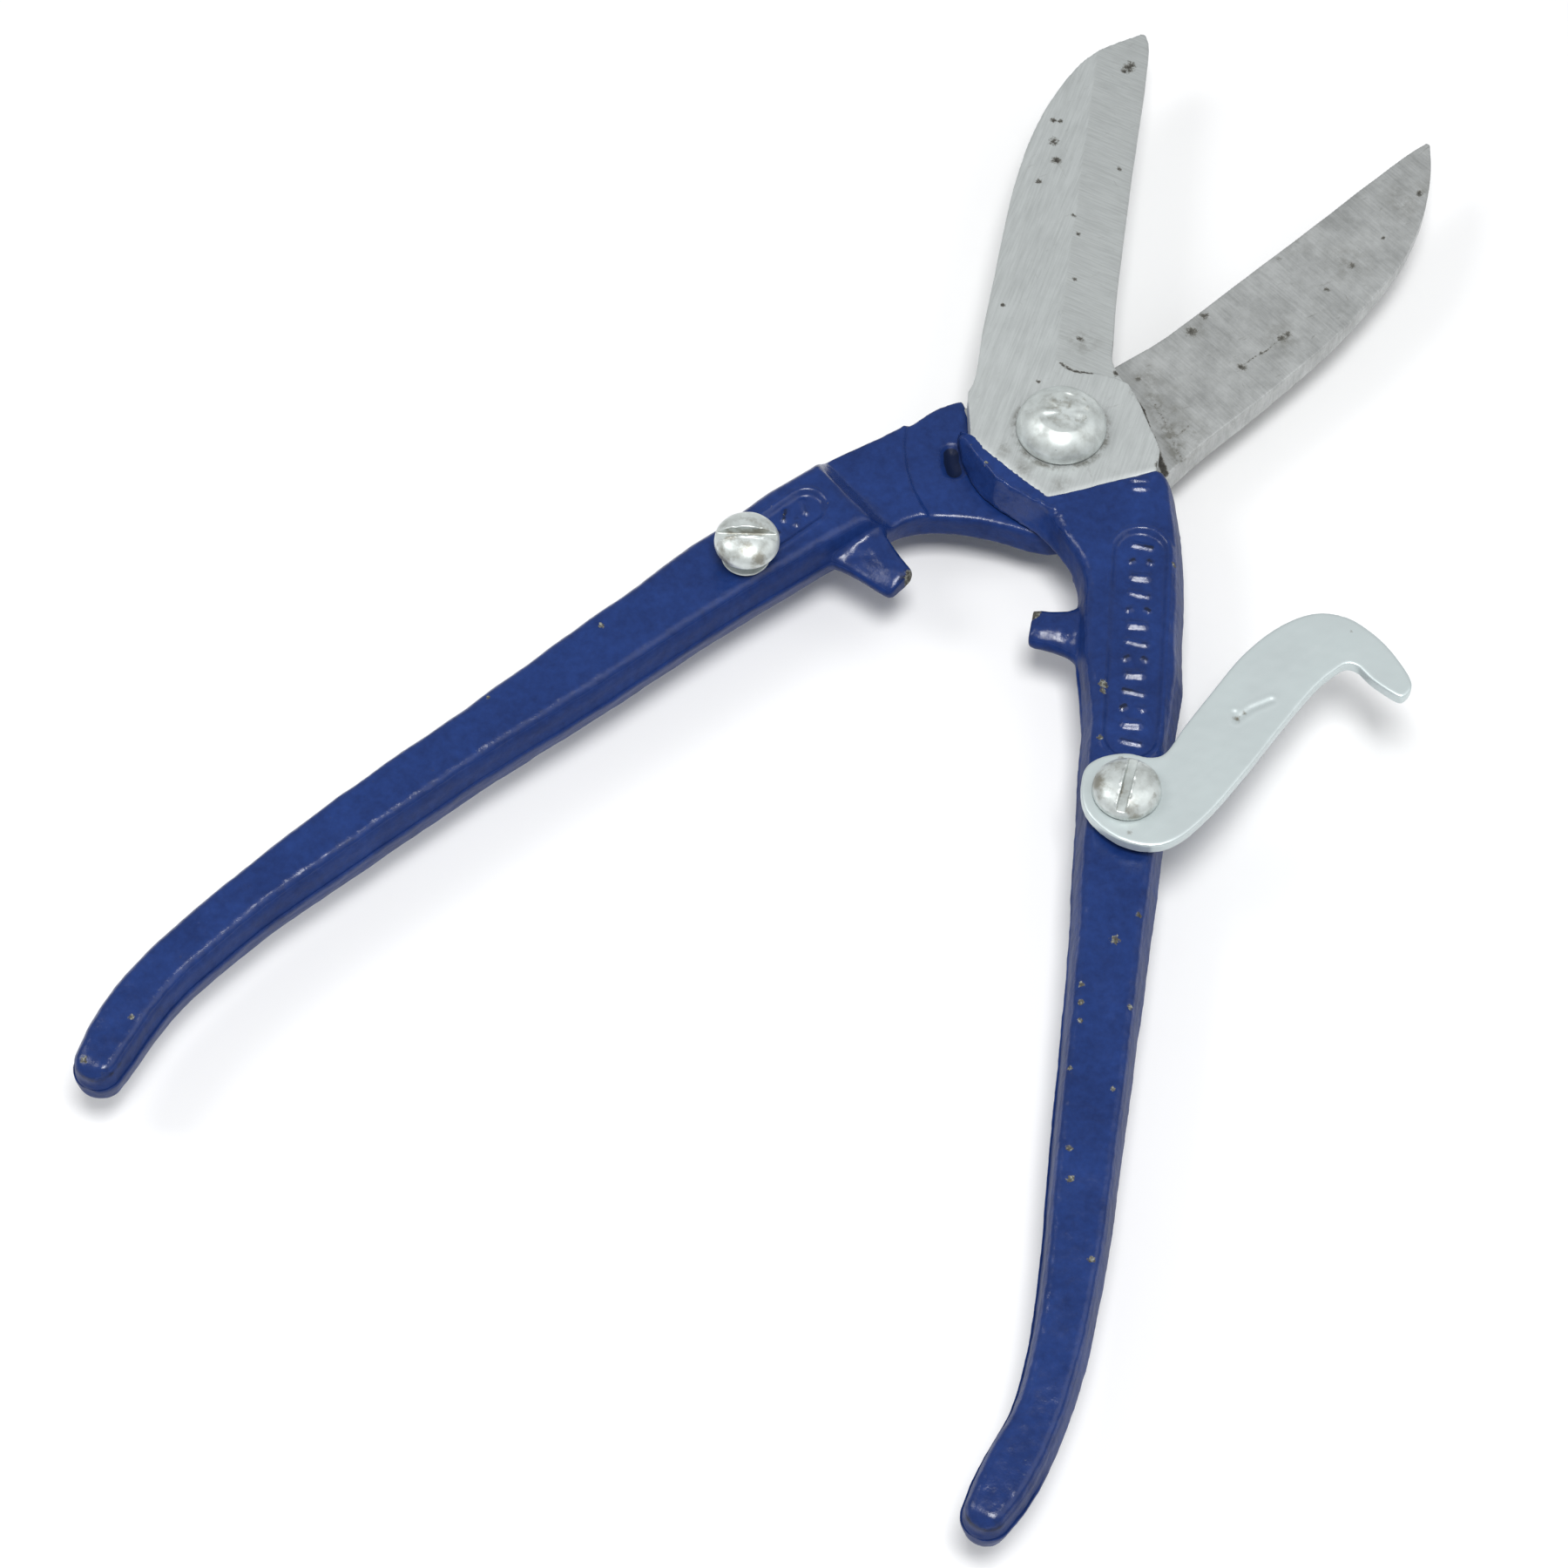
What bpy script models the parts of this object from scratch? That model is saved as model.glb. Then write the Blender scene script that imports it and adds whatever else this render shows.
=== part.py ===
"""Latching tin snips: two forged arms on one domed pivot bolt, with a hook latch and a catch screw.

Frame: +Z runs up the pivot axis towards the bolt's head, +Y runs along the tool towards the blade tips,
and the origin is the centre of the pivot bolt's threaded end, the lowest point of the tool.
Both arms are drawn in right-arm form. The left arm comes from the same pattern turned over about Y, and its
outline differs a little from the right arm's, as two rough forgings do.
"""
import math

import bmesh
import bpy
from mathutils import Vector

MM = 0.001

# ---- driving dimensions, in millimetres ----
LAP_Z = 14.8             # height of the plane where the two arms meet
HALF_T = 6.0             # each arm's thickness at the pivot, and half the grip's thickness
GAP = 0.3                # clearance between neighbouring pieces
LAP_R = 27.3             # machined circle that clears the other arm's shoulder
STEP_RISE = 0.75         # how far the forged land beyond that circle stands proud of the lap plane
STEP_LEAN = 0.78         # lean of the sloping wall that ends the land, as run over rise
TIP_T = 2.4              # blade thickness at the tip
BAND_SLOPE = 0.12        # fall of the ground band towards the cutting edge

BOLT_R = 4.0
BOLT_HEAD_R = 7.9
BOLT_DOME_H = 4.8
HEAD_RIM_H = 0.8         # upright rim below every head's dome
WASHER_T = 1.4
NUT_T = 5.6
NUT_FLATS = 13.0

LATCH_PIVOT = (43.6, -63.1)
LATCH_T = 2.4
CATCH_POS = (-35.0, -50.1)
NECK_R = 2.3
SCREW_WASHER_T = 1.0
LATCH_HEAD_R = 5.7
CATCH_HEAD_R = 5.6
SCREW_DOME_H = 2.9
SCREW_DEPTH = 8.5        # how far each screw goes down into its handle
SLOT_W = 1.4
SLOT_FLOOR = 1.9         # height of the slot's floor above the underside of the head
LATCH_SLOT_TURN = 104.0  # direction of the screw slots, in degrees from +X
CATCH_SLOT_TURN = 27.0
LATCH_NECK_R = 2.5

TOP_Z = LAP_Z + HALF_T
LATCH_Z = TOP_Z + 2 * GAP + SCREW_WASHER_T
LATCH_HEAD_Z = LATCH_Z + LATCH_T + GAP
CATCH_HEAD_Z = LATCH_Z + LATCH_T + 2 * GAP

# ---- arm outlines, drawn as the right arm, in plan about the pivot ----
# The V along which the bare blade gives way to the enamelled handle.
PAINT_V = [(-24.0, -4.4), (-13.3, -9.0), (4.5, -13.8), (18.4, 0.3), (27.0, 9.0)]

# Stations down the neck: inner edge and outer edge at mid height, then the same two edges of the top face.
RIGHT_NECK = [
    ((-16.6, -6.8), (19.8, 1.7), (-13.6, -8.7), (18.6, 0.9)),
    ((-12.6, -12.7), (22.5, -0.0), (-8.5, -10.3), (21.1, -0.6)),
    ((-7.0, -16.5), (24.5, -2.8), (-3.0, -12.3), (23.0, -3.5)),
    ((-0.5, -17.9), (26.9, -6.4), (2.4, -14.2), (25.3, -7.0)),
    ((5.2, -18.8), (29.0, -9.9), (7.4, -16.6), (27.4, -10.6)),
    ((10.4, -21.1), (31.2, -14.1), (11.6, -19.8), (29.5, -14.8)),
    ((14.2, -23.5), (33.3, -18.3), (15.5, -22.6), (31.6, -19.0)),
    ((16.8, -26.6), (35.3, -22.4), (18.2, -26.0), (33.5, -23.0)),
    ((18.2, -29.9), (37.1, -26.6), (19.8, -29.5), (35.3, -27.1)),
    ((19.8, -33.6), (39.1, -30.8), (21.6, -33.3), (37.3, -31.2)),
    ((22.2, -38.2), (41.5, -35.4), (24.0, -37.8), (39.6, -35.8)),
]
LEFT_NECK = [
    ((-16.6, -6.8), (19.8, 1.7), (-16.4, -6.6), (18.6, 0.9)),
    ((-12.8, -12.8), (22.2, -0.3), (-12.6, -12.6), (20.8, -0.9)),
    ((-7.2, -17.2), (24.1, -3.2), (-7.0, -18.0), (22.6, -3.9)),
    ((-0.3, -18.7), (25.6, -7.1), (-0.2, -19.2), (24.2, -7.7)),
    ((5.4, -20.0), (27.7, -10.6), (5.5, -20.4), (26.1, -11.3)),
    ((10.6, -22.2), (29.9, -14.7), (10.8, -22.4), (28.2, -15.4)),
    ((14.1, -24.3), (32.5, -18.7), (14.6, -24.7), (30.8, -19.4)),
    ((16.4, -26.9), (34.8, -22.6), (17.1, -27.2), (33.0, -23.2)),
    ((17.9, -30.0), (36.3, -26.9), (19.0, -30.2), (34.3, -27.4)),
    ((19.8, -33.6), (38.4, -31.1), (21.6, -33.3), (36.4, -31.6)),
    ((22.2, -38.2), (40.7, -35.7), (24.0, -37.8), (38.6, -36.2)),
]
# Grip: centreline points and half width across the parting line.
RIGHT_GRIP = [
    (36.0, -44.8, 8.0),
    (39.9, -54.9, 7.9),
    (44.1, -64.9, 7.6),
    (48.0, -74.9, 7.3),
    (52.0, -84.9, 6.8),
    (59.7, -105.0, 6.3),
    (67.3, -125.1, 5.8),
    (71.1, -135.0, 5.5),
    (74.6, -145.0, 5.1),
    (77.6, -155.0, 4.8),
    (79.6, -165.0, 4.6),
    (79.9, -175.0, 5.0),
]
LEFT_GRIP = [
    (34.7, -45.2, 8.0),
    (39.3, -55.1, 8.0),
    (43.3, -65.2, 7.5),
    (47.3, -75.1, 7.3),
    (51.3, -85.1, 7.0),
    (59.5, -105.0, 6.0),
    (67.4, -125.0, 5.7),
    (71.1, -135.0, 5.4),
    (74.7, -145.0, 5.1),
    (77.7, -155.0, 5.0),
    (80.1, -164.9, 4.9),
    (80.9, -175.0, 4.9),
]
GRIP_ENDS = ((79.6, -186.6, 4.3), (80.0, -187.7, 4.5))  # middle of each rounded end and its radius
GRIP_DRAFT = (0.29, 0.22)  # each side leans in by this share of its height, near the lugs and farther down

# Blade outlines, tip to pivot. The two blades are ground to slightly different widths.
FRONT_EDGE = [
    (-28.2, 91.9), (-26.0, 88.8), (-21.7, 77.7), (-17.4, 65.6), (-13.4, 54.7), (-5.0, 32.4), (-0.8, 22.6),
]
BACK_EDGE = [
    (-28.2, 94.9), (-26.1, 90.2), (-21.7, 77.7), (-17.6, 65.4), (-13.7, 54.5), (-5.9, 32.1), (-1.2, 22.4),
]
FRONT_SPINE = [
    (-28.9, 91.9), (-31.6, 87.6), (-34.3, 82.4), (-35.8, 76.4), (-36.1, 68.0), (-35.7, 61.6),
    (-34.4, 53.6), (-31.4, 41.8), (-26.2, 25.8), (-21.9, 12.5), (-18.6, 3.6), (-18.0, -0.6),
]
BACK_SPINE = [
    (-29.0, 94.7), (-31.3, 89.8), (-33.7, 83.0), (-35.1, 76.5), (-35.7, 68.5), (-35.2, 62.0),
    (-34.0, 54.2), (-31.6, 43.5), (-26.2, 26.5), (-22.0, 14.8), (-18.9, 3.7), (-18.2, -0.6),
]
SHOULDER = [(0.9, 18.6), (4.0, 15.9), (7.6, 13.5), (12.0, 9.5), (19.8, 1.9)]
TAPER_LINE = ((-8.0, 18.0), (-30.0, 93.0))  # the outer face falls from full thickness to TIP_T along this line
BAND_LINE = ((-34.0, 82.7), (-8.0, 13.5))   # upper limit of the ground band
# The ground band runs out against this edge of the thick boss round the pivot.
BOSS_EDGE = [(-12.0, 13.2), (-6.5, 12.9), (-4.5, 12.4), (-2.7, 12.8), (-0.6, 13.7), (1.4, 14.3), (4.0, 14.7)]

# Stop lugs: (upper edge, lower edge) at root, middle and end face, for the right arm and the left arm.
RIGHT_LUG = [
    ((21.0, -26.8), (27.0, -38.5)),
    ((15.4, -30.9), (18.9, -38.1)),
    ((11.3, -32.6), (13.75, -39.6)),
]
LEFT_LUG = [
    ((21.0, -28.6), (27.0, -40.6)),
    ((15.4, -32.6), (18.6, -41.0)),
    ((9.95, -35.6), (11.75, -42.1)),
]
LUG_H = 2.4

# Shallow panels sunk in the upper faces: two ends of the middle line, half width and depth.
RIGHT_PANEL = ((23.6, -16.4), (38.4, -50.2), 4.7, 0.45)
LEFT_PANEL = ((-31.2, -35.6), (-34.4, -43.6), 3.3, 0.5)

# The forged land ends in a wall along this line: a point on it and its direction.
RIDGE_POINT = (27.9, -29.7)
RIDGE_RUN = (12.4, 5.1)

# Latch outline about its screw: eye, long edge, bend, nose, throat and back to the eye.
HOOK = [
    (-7.9, -0.5), (-7.3, 3.5), (-3.6, 6.8), (0.3, 8.0), (2.3, 10.2), (2.8, 16.1), (3.9, 25.0),
    (5.1, 33.1), (7.6, 40.7), (12.0, 46.8), (17.5, 48.9), (24.0, 47.6), (29.1, 44.9), (32.5, 42.0),
    (32.5, 39.2), (30.9, 38.6),
    (26.3, 39.5), (23.4, 40.7), (21.4, 40.4), (20.2, 38.4), (18.6, 33.6), (17.0, 24.0), (15.5, 13.0),
    (13.2, 1.0), (9.6, -6.2), (2.8, -8.5), (-4.3, -6.3),
]


# ---- scene, collections and materials ----
def clear_scene():
    for obj in list(bpy.data.objects):
        bpy.data.objects.remove(obj, do_unlink=True)


def new_collection(name):
    coll = bpy.data.collections.new(name)
    bpy.context.scene.collection.children.link(coll)
    return coll


def material(name, colour, roughness, metallic):
    mat = bpy.data.materials.new(name)
    mat.use_nodes = True
    shader = mat.node_tree.nodes["Principled BSDF"]
    shader.inputs["Base Color"].default_value = (*colour, 1.0)
    shader.inputs["Roughness"].default_value = roughness
    shader.inputs["Metallic"].default_value = metallic
    mat.diffuse_color = (*colour, 1.0)
    return mat


clear_scene()
PARTS = new_collection("latching_tin_snips")
CUTTERS = new_collection("cutters")


def link(name, mesh, coll=None, mat=None):
    obj = bpy.data.objects.new(name, mesh)
    (coll or PARTS).objects.link(obj)
    if mat:
        mesh.materials.append(mat)
    if coll is CUTTERS:
        obj.hide_render = True
        obj.display_type = "WIRE"
    return obj


def axis_empty(name, location, turn_y=0.0, parent=None):
    empty = bpy.data.objects.new(name, None)
    PARTS.objects.link(empty)
    empty.location = location
    empty.rotation_euler = (0.0, turn_y, 0.0)
    empty.parent = parent
    return empty


# ---- shape helpers ----
def smooth_line(points, per_span, closed=False):
    """Points on a Catmull-Rom curve through the given points."""
    pts = [Vector(p) for p in points]
    count = len(pts)
    spans = count if closed else count - 1
    out = []
    for i in range(spans):
        if closed:
            p0, p1, p2, p3 = (pts[(i + k) % count] for k in (-1, 0, 1, 2))
        else:
            p1, p2 = pts[i], pts[i + 1]
            p0 = pts[i - 1] if i else p1 * 2 - p2
            p3 = pts[i + 2] if i + 2 < count else p2 * 2 - p1
        for k in range(per_span):
            t = k / per_span
            a = p1 * 2 + (p2 - p0) * t
            b = (p0 * 2 - p1 * 5 + p2 * 4 - p3) * t * t
            c = (p1 * 3 - p0 - p2 * 3 + p3) * t ** 3
            out.append((a + b + c) * 0.5)
    if not closed:
        out.append(pts[-1])
    return out


def loft(name, rings, coll=None, mat=None):
    """Skin a list of equal closed rings and close both ends."""
    bm = bmesh.new()
    loops = [[bm.verts.new(Vector(p) * MM) for p in ring] for ring in rings]
    size = len(rings[0])
    for a, b in zip(loops, loops[1:]):
        for i in range(size):
            j = (i + 1) % size
            bm.faces.new((a[i], a[j], b[j], b[i]))
    bm.faces.new(list(reversed(loops[0])))
    bm.faces.new(loops[-1])
    bmesh.ops.recalc_face_normals(bm, faces=bm.faces)
    bmesh.ops.triangulate(bm, faces=bm.faces)
    return finish(name, bm, coll, mat)


def prism(name, outline, z0, z1, coll=None, mat=None):
    """A flat outline extruded from z0 to z1."""
    bm = bmesh.new()
    face = bm.faces.new([bm.verts.new((p[0] * MM, p[1] * MM, z0 * MM)) for p in outline])
    if face.calc_area() > 0 and face.normal.z > 0:
        face.normal_flip()
    grown = bmesh.ops.extrude_face_region(bm, geom=[face])
    top = [v for v in grown["geom"] if isinstance(v, bmesh.types.BMVert)]
    bmesh.ops.translate(bm, verts=top, vec=(0, 0, (z1 - z0) * MM))
    bmesh.ops.recalc_face_normals(bm, faces=bm.faces)
    return finish(name, bm, coll, mat)


def finish(name, bm, coll, mat):
    mesh = bpy.data.meshes.new(name)
    bm.to_mesh(mesh)
    bm.free()
    return link(name, mesh, coll, mat)


def cylinder(name, radius, z0, z1, x=0.0, y=0.0, sides=48, coll=None, mat=None):
    bpy.ops.mesh.primitive_cylinder_add(
        vertices=sides,
        radius=radius * MM,
        depth=(z1 - z0) * MM,
        location=(x * MM, y * MM, (z0 + z1) / 2 * MM),
    )
    obj = bpy.context.object
    for old in list(obj.users_collection):
        old.objects.unlink(obj)
    (coll or PARTS).objects.link(obj)
    obj.name = name
    if mat:
        obj.data.materials.append(mat)
    if coll is CUTTERS:
        obj.hide_render = True
        obj.display_type = "WIRE"
    return obj


def boolean(obj, tool, operation="DIFFERENCE"):
    mod = obj.modifiers.new(tool.name, "BOOLEAN")
    mod.operation = operation
    mod.solver = "EXACT"
    mod.object = tool
    return mod


def hang(parent, *objects):
    for obj in objects:
        obj.parent = parent


def smooth(obj, angle=30.0):
    obj.data.shade_smooth()
    obj.data.set_sharp_from_angle(angle=math.radians(angle))


def turned(name, profile, x, y, mat, steps=40):
    """Revolve a profile of (radius, height) points that starts and ends on the axis, top first."""
    bm = bmesh.new()
    verts = [bm.verts.new((r * MM, 0.0, z * MM)) for r, z in profile]
    for a, b in zip(verts, verts[1:]):
        bm.edges.new((a, b))
    obj = finish(name, bm, None, mat)
    obj.location = (x * MM, y * MM, 0.0)
    screw = obj.modifiers.new("turn", "SCREW")
    screw.steps = steps
    screw.render_steps = steps
    screw.use_merge_vertices = True
    screw.merge_threshold = 0.00001
    return obj


# ---- arm sections ----
def section(inner, outer, top_in, top_out, height):
    """A forged bar's section: widest at the parting line, flat top and bottom, rounded corners."""
    inner, outer, top_in, top_out = (Vector(p) for p in (inner, outer, top_in, top_out))
    across = (top_out - top_in).normalized()
    c = min(1.1, height * 0.3)
    k = c / height
    in_low = top_in.lerp(inner, k)
    out_low = top_out.lerp(outer, k)
    upper = [
        (inner, 0.0),
        (in_low, height - c),
        (top_in + across * c * 0.3, height - c * 0.3),
        (top_in + across * c, height),
        (top_out - across * c, height),
        (top_out - across * c * 0.3, height - c * 0.3),
        (out_low, height - c),
        (outer, 0.0),
    ]
    ring = [(p.x, p.y, z) for p, z in upper]
    ring += [(p.x, p.y, -z) for p, z in reversed(upper[1:-1])]
    return ring


def grip_ring(centre, along, half, rise):
    """One section square to the grip at centre."""
    across = Vector((-along.y, along.x))
    near, far = GRIP_DRAFT
    share = max(0.0, min(1.0, (-centre.y - 85.0) / 30.0))
    lean = min((near + (far - near) * share) * rise, half * 0.4)
    a = centre - across * half
    b = centre + across * half
    return section(a, b, a + across * lean, b - across * lean, rise)


def grip_rise(y):
    """Half the grip's thickness, which thins a little towards its end."""
    return HALF_T - 0.8 * max(0.0, min(1.0, (-y - 130.0) / 50.0))


def grip_sections(rows, tail):
    end, end_r = Vector(tail[:2]), tail[2]
    path = smooth_line(rows + [tail], 3)
    rings = []
    for prev, p, nxt in zip(path, path[1:], path[2:]):
        centre = Vector(p[:2])
        if (end - centre).length > end_r:
            along = Vector(nxt[:2]) - Vector(prev[:2])
            rings.append(grip_ring(centre, along.normalized(), p[2], grip_rise(p[1])))
    along = (end - centre).normalized()
    for degrees in (20.0, 40.0, 58.0, 74.0):
        turn = math.radians(degrees)
        centre = end - along * end_r * (1.0 - math.sin(turn))
        rise = grip_rise(end.y) * (0.25 + 0.75 * math.cos(turn))
        rings.append(grip_ring(centre, along, end_r * math.cos(turn), rise))
    return rings


def neck_sections(stations):
    rows = smooth_line([tuple(c for point in row for c in point) for row in stations], 2)
    return [section(r[0:2], r[2:4], r[4:6], r[6:8], HALF_T) for r in rows]


def lug(name, rows):
    """A tapered stop lug with leaning flanks and a flat end face."""
    rings = []
    for row in smooth_line([(*upper, *lower) for upper, lower in rows], 3):
        upper, lower = Vector(row[:2]), Vector(row[2:])
        side = (lower - upper).normalized()
        rings.append(section(upper, lower, upper + side * 0.6, lower - side * 0.6, LUG_H))
    return loft(name, rings, CUTTERS)


def offset_line(points, distance):
    """Shift an open line sideways, to its left for a positive distance."""
    pts = [Vector(p) for p in points]
    out = []
    for i, p in enumerate(pts):
        before = (p - pts[i - 1]).normalized() if i else (pts[1] - p).normalized()
        after = (pts[i + 1] - p).normalized() if i + 1 < len(pts) else before
        mid = (before + after).normalized()
        normal = Vector((-mid.y, mid.x))
        out.append(p + normal * distance / max(0.3, mid.dot(after)))
    return out


# ---- the two arms ----
def lap_cutter(prefix):
    """Everything of the far half of the arm that the other arm sweeps through, in right-arm form."""
    disc = cylinder(prefix + "_lap_disc", LAP_R, -30.0, GAP / 2, sides=96, coll=CUTTERS)
    bm = bmesh.new()
    bmesh.ops.create_cube(bm, size=1.0)
    ridge = Vector(RIDGE_POINT)
    along = Vector(RIDGE_RUN).normalized()
    toward = Vector((-along.y, along.x))
    for v in bm.verts:
        x, y, z = v.co * 2
        height = -HALF_T - 3.0 if z < 0 else -STEP_RISE
        near = (height + HALF_T) * STEP_LEAN
        p = ridge + along * x * 60.0 + toward * (60.0 if y > 0 else near)
        v.co = (p.x * MM, p.y * MM, height * MM)
    bmesh.ops.recalc_face_normals(bm, faces=bm.faces)
    step = finish(prefix + "_lap_step", bm, CUTTERS, None)
    return disc, step


def handle(name, arm, stations, grip, end, lug_rows, mat):
    obj = loft(name, neck_sections(stations) + grip_sections(grip, end), mat=mat)
    stop = lug(name + "_lug", lug_rows)
    disc, step = lap_cutter(name)
    edge = offset_line(PAINT_V, -GAP / 2)
    above = [(p.x, p.y) for p in edge] + [(40.0, 60.0), (-40.0, 60.0)]
    blade_room = prism(name + "_blade_room", above, -30.0, 30.0, CUTTERS)
    boolean(obj, disc)
    boolean(obj, step)
    boolean(obj, blade_room)
    boolean(obj, stop, "UNION")
    hang(arm, obj, stop, disc, step, blade_room)
    return obj


def blade_outline(edge, spine):
    """Cutting edge, round lap shoulder, paint line and spine, as one closed outline."""
    edge = smooth_line(edge, 3)
    shoulder = smooth_line([tuple(edge[-1])] + SHOULDER, 3)
    border = offset_line(PAINT_V, GAP / 2)[1:4]
    back = smooth_line(list(reversed(spine)), 3)
    return edge[:-1] + shoulder[:-1] + list(reversed(border)) + back


def slab(name, low, high, coll):
    """A loft between two four-sided faces, for cutters with a sloped floor."""
    bm = bmesh.new()
    a = [bm.verts.new(Vector(p) * MM) for p in low]
    b = [bm.verts.new(Vector(p) * MM) for p in high]
    bm.faces.new(list(reversed(a)))
    bm.faces.new(b)
    for i in range(4):
        j = (i + 1) % 4
        bm.faces.new((a[i], a[j], b[j], b[i]))
    bmesh.ops.recalc_face_normals(bm, faces=bm.faces)
    return finish(name, bm, coll, None)


def outer_face(point):
    """Height of the tapered outer face of the blade at a point in plan."""
    root, tip = (Vector(p) for p in TAPER_LINE)
    share = (point - root).dot(tip - root) / (tip - root).length_squared
    return HALF_T - (HALF_T - TIP_T) * share


def plane_cutter(name, start, stop, across, fall):
    """Everything above a sloped face that follows outer_face along one line and falls away across it."""
    low = []
    for point, out in ((start, 0.0), (stop, 0.0), (stop, 1.0), (start, 1.0)):
        p = point + across * out
        low.append((p.x, p.y, outer_face(point) - fall * across.length * out))
    high = [(x, y, 40.0) for x, y, z in low]
    return slab(name, low, high, CUTTERS)


def taper_cutter(name):
    """Thins the outer face of the blade from the pivot to the tip."""
    root, tip = (Vector(p) for p in TAPER_LINE)
    run = tip - root
    side = Vector((-run.y, run.x)).normalized() * 60.0
    return plane_cutter(name, root - side, root - side + run * 1.2, side * 2.0, 0.0)


def band_cutter(name):
    """Grinds the sloping band along the cutting edge, but stops at the thick boss."""
    low_end, high_end = (Vector(p) for p in BAND_LINE)
    run = (high_end - low_end).normalized()
    across = Vector((-run.y, run.x)) * 30.0
    band = plane_cutter(name, low_end - run * 25.0, high_end + run * 30.0, across, BAND_SLOPE)
    outline = smooth_line(BOSS_EDGE, 3)
    outline = [(p.x, p.y) for p in outline] + [(40.0, 14.7), (40.0, -60.0), (-12.0, -60.0)]
    boss = prism(name + "_boss", outline, -20.0, 50.0, CUTTERS)
    boolean(band, boss)
    return band, boss


def blade(name, arm, edge, spine, mat):
    outline = [(p[0], p[1]) for p in blade_outline(edge, spine)]
    obj = prism(name, outline, GAP / 2, HALF_T, mat=mat)
    taper = taper_cutter(name + "_taper")
    band, boss = band_cutter(name + "_band")
    bore = cylinder(name + "_bore", BOLT_R + GAP, -10.0, 20.0, sides=48, coll=CUTTERS)
    for tool in (taper, band, bore):
        boolean(obj, tool)
    hang(arm, obj, taper, band, boss, bore)
    return obj


def stadium(start, end, radius):
    """Outline of a slot with round ends."""
    a, b = Vector(start), Vector(end)
    heading = math.atan2(b.y - a.y, b.x - a.x)
    out = []
    for centre, base in ((b, heading - math.pi / 2), (a, heading + math.pi / 2)):
        for k in range(13):
            turn = base + math.pi * k / 12
            out.append((centre.x + radius * math.cos(turn), centre.y + radius * math.sin(turn)))
    return out


# ---- fasteners ----
def domed_head(radius, rim, dome, flat_share):
    """Profile of a domed head from its crown down to its rim, measured from its underside."""
    last = math.acos(flat_share)
    points = [(0.0, rim + dome * math.sin(last) + 0.25)]
    for k in range(9):
        turn = last * (1.0 - k / 8)
        points.append((radius * math.cos(turn), rim + dome * math.sin(turn)))
    points.append((radius, 0.15))
    points.append((radius - 0.15, 0.0))
    return points


def screw(name, head_r, head_z, neck_r, centre, slot_turn, mat):
    x, y = centre
    end_z = TOP_Z - SCREW_DEPTH
    profile = [(r, z + head_z) for r, z in domed_head(head_r, HEAD_RIM_H, SCREW_DOME_H, 0.3)]
    profile += [(neck_r, head_z), (neck_r, end_z + 0.5), (neck_r - 0.5, end_z), (0.0, end_z)]
    obj = turned(name, profile, x, y, mat)
    bm = bmesh.new()
    bmesh.ops.create_cube(bm, size=1.0)
    bmesh.ops.scale(bm, verts=bm.verts, vec=(4 * head_r * MM, SLOT_W * MM, 6 * MM))
    slot = finish(name + "_slot", bm, CUTTERS, None)
    slot.location = (x * MM, y * MM, (head_z + SLOT_FLOOR + 3.0) * MM)
    slot.rotation_euler = (0.0, 0.0, math.radians(slot_turn))
    boolean(obj, slot)
    return obj


def washer(name, outer, inner, z0, thick, x, y, mat, sides=40):
    obj = cylinder(name, outer, z0, z0 + thick, x, y, sides, mat=mat)
    hole = cylinder(name + "_hole", inner, z0 - 2.0, z0 + thick + 2.0, x, y, sides, CUTTERS)
    boolean(obj, hole)
    smooth(obj)
    return obj


def latch_plate(mat, hole_r):
    """Flat hook cut from plate, with lightly broken edges, about its screw's axis."""
    curve = bpy.data.curves.new("latch_outline", "CURVE")
    curve.dimensions = "2D"
    curve.fill_mode = "BOTH"
    curve.extrude = (LATCH_T / 2 - 0.2) * MM
    curve.bevel_depth = 0.2 * MM
    curve.bevel_resolution = 0
    curve.offset = -0.2 * MM
    line = smooth_line(HOOK, 4, closed=True)
    spline = curve.splines.new("POLY")
    spline.points.add(len(line) - 1)
    for point, p in zip(spline.points, line):
        point.co = (p.x * MM, p.y * MM, 0.0, 1.0)
    spline.use_cyclic_u = True
    guide = bpy.data.objects.new("latch_outline", curve)
    PARTS.objects.link(guide)
    depsgraph = bpy.context.evaluated_depsgraph_get()
    mesh = bpy.data.meshes.new_from_object(guide.evaluated_get(depsgraph))
    bpy.data.objects.remove(guide, do_unlink=True)
    bm = bmesh.new()
    bm.from_mesh(mesh)
    bmesh.ops.remove_doubles(bm, verts=bm.verts, dist=0.000001)
    bmesh.ops.recalc_face_normals(bm, faces=bm.faces)
    bm.to_mesh(mesh)
    bm.free()
    mesh.materials.clear()
    obj = link("latch_hook", mesh, None, mat)
    x, y = LATCH_PIVOT
    obj.location = (x * MM, y * MM, (LATCH_Z + LATCH_T / 2) * MM)
    hole = cylinder("latch_hole", hole_r, LATCH_Z - 5.0, LATCH_Z + 10.0, x, y, 40, CUTTERS)
    boolean(obj, hole)
    return obj


# ---- assembly ----
enamel = material("blue_enamel", (0.014, 0.045, 0.21), 0.28, 0.0)
blade_steel = material("ground_blade_steel", (0.50, 0.51, 0.51), 0.38, 0.9)
zinc = material("zinc_plated_steel", (0.62, 0.65, 0.64), 0.32, 0.9)
latch_zinc = material("latch_zinc", (0.66, 0.72, 0.72), 0.45, 0.6)

right_arm = axis_empty("right_arm_axis", (0.0, 0.0, LAP_Z * MM))
left_arm = axis_empty("left_arm_axis", (0.0, 0.0, LAP_Z * MM), turn_y=math.pi)

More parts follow.
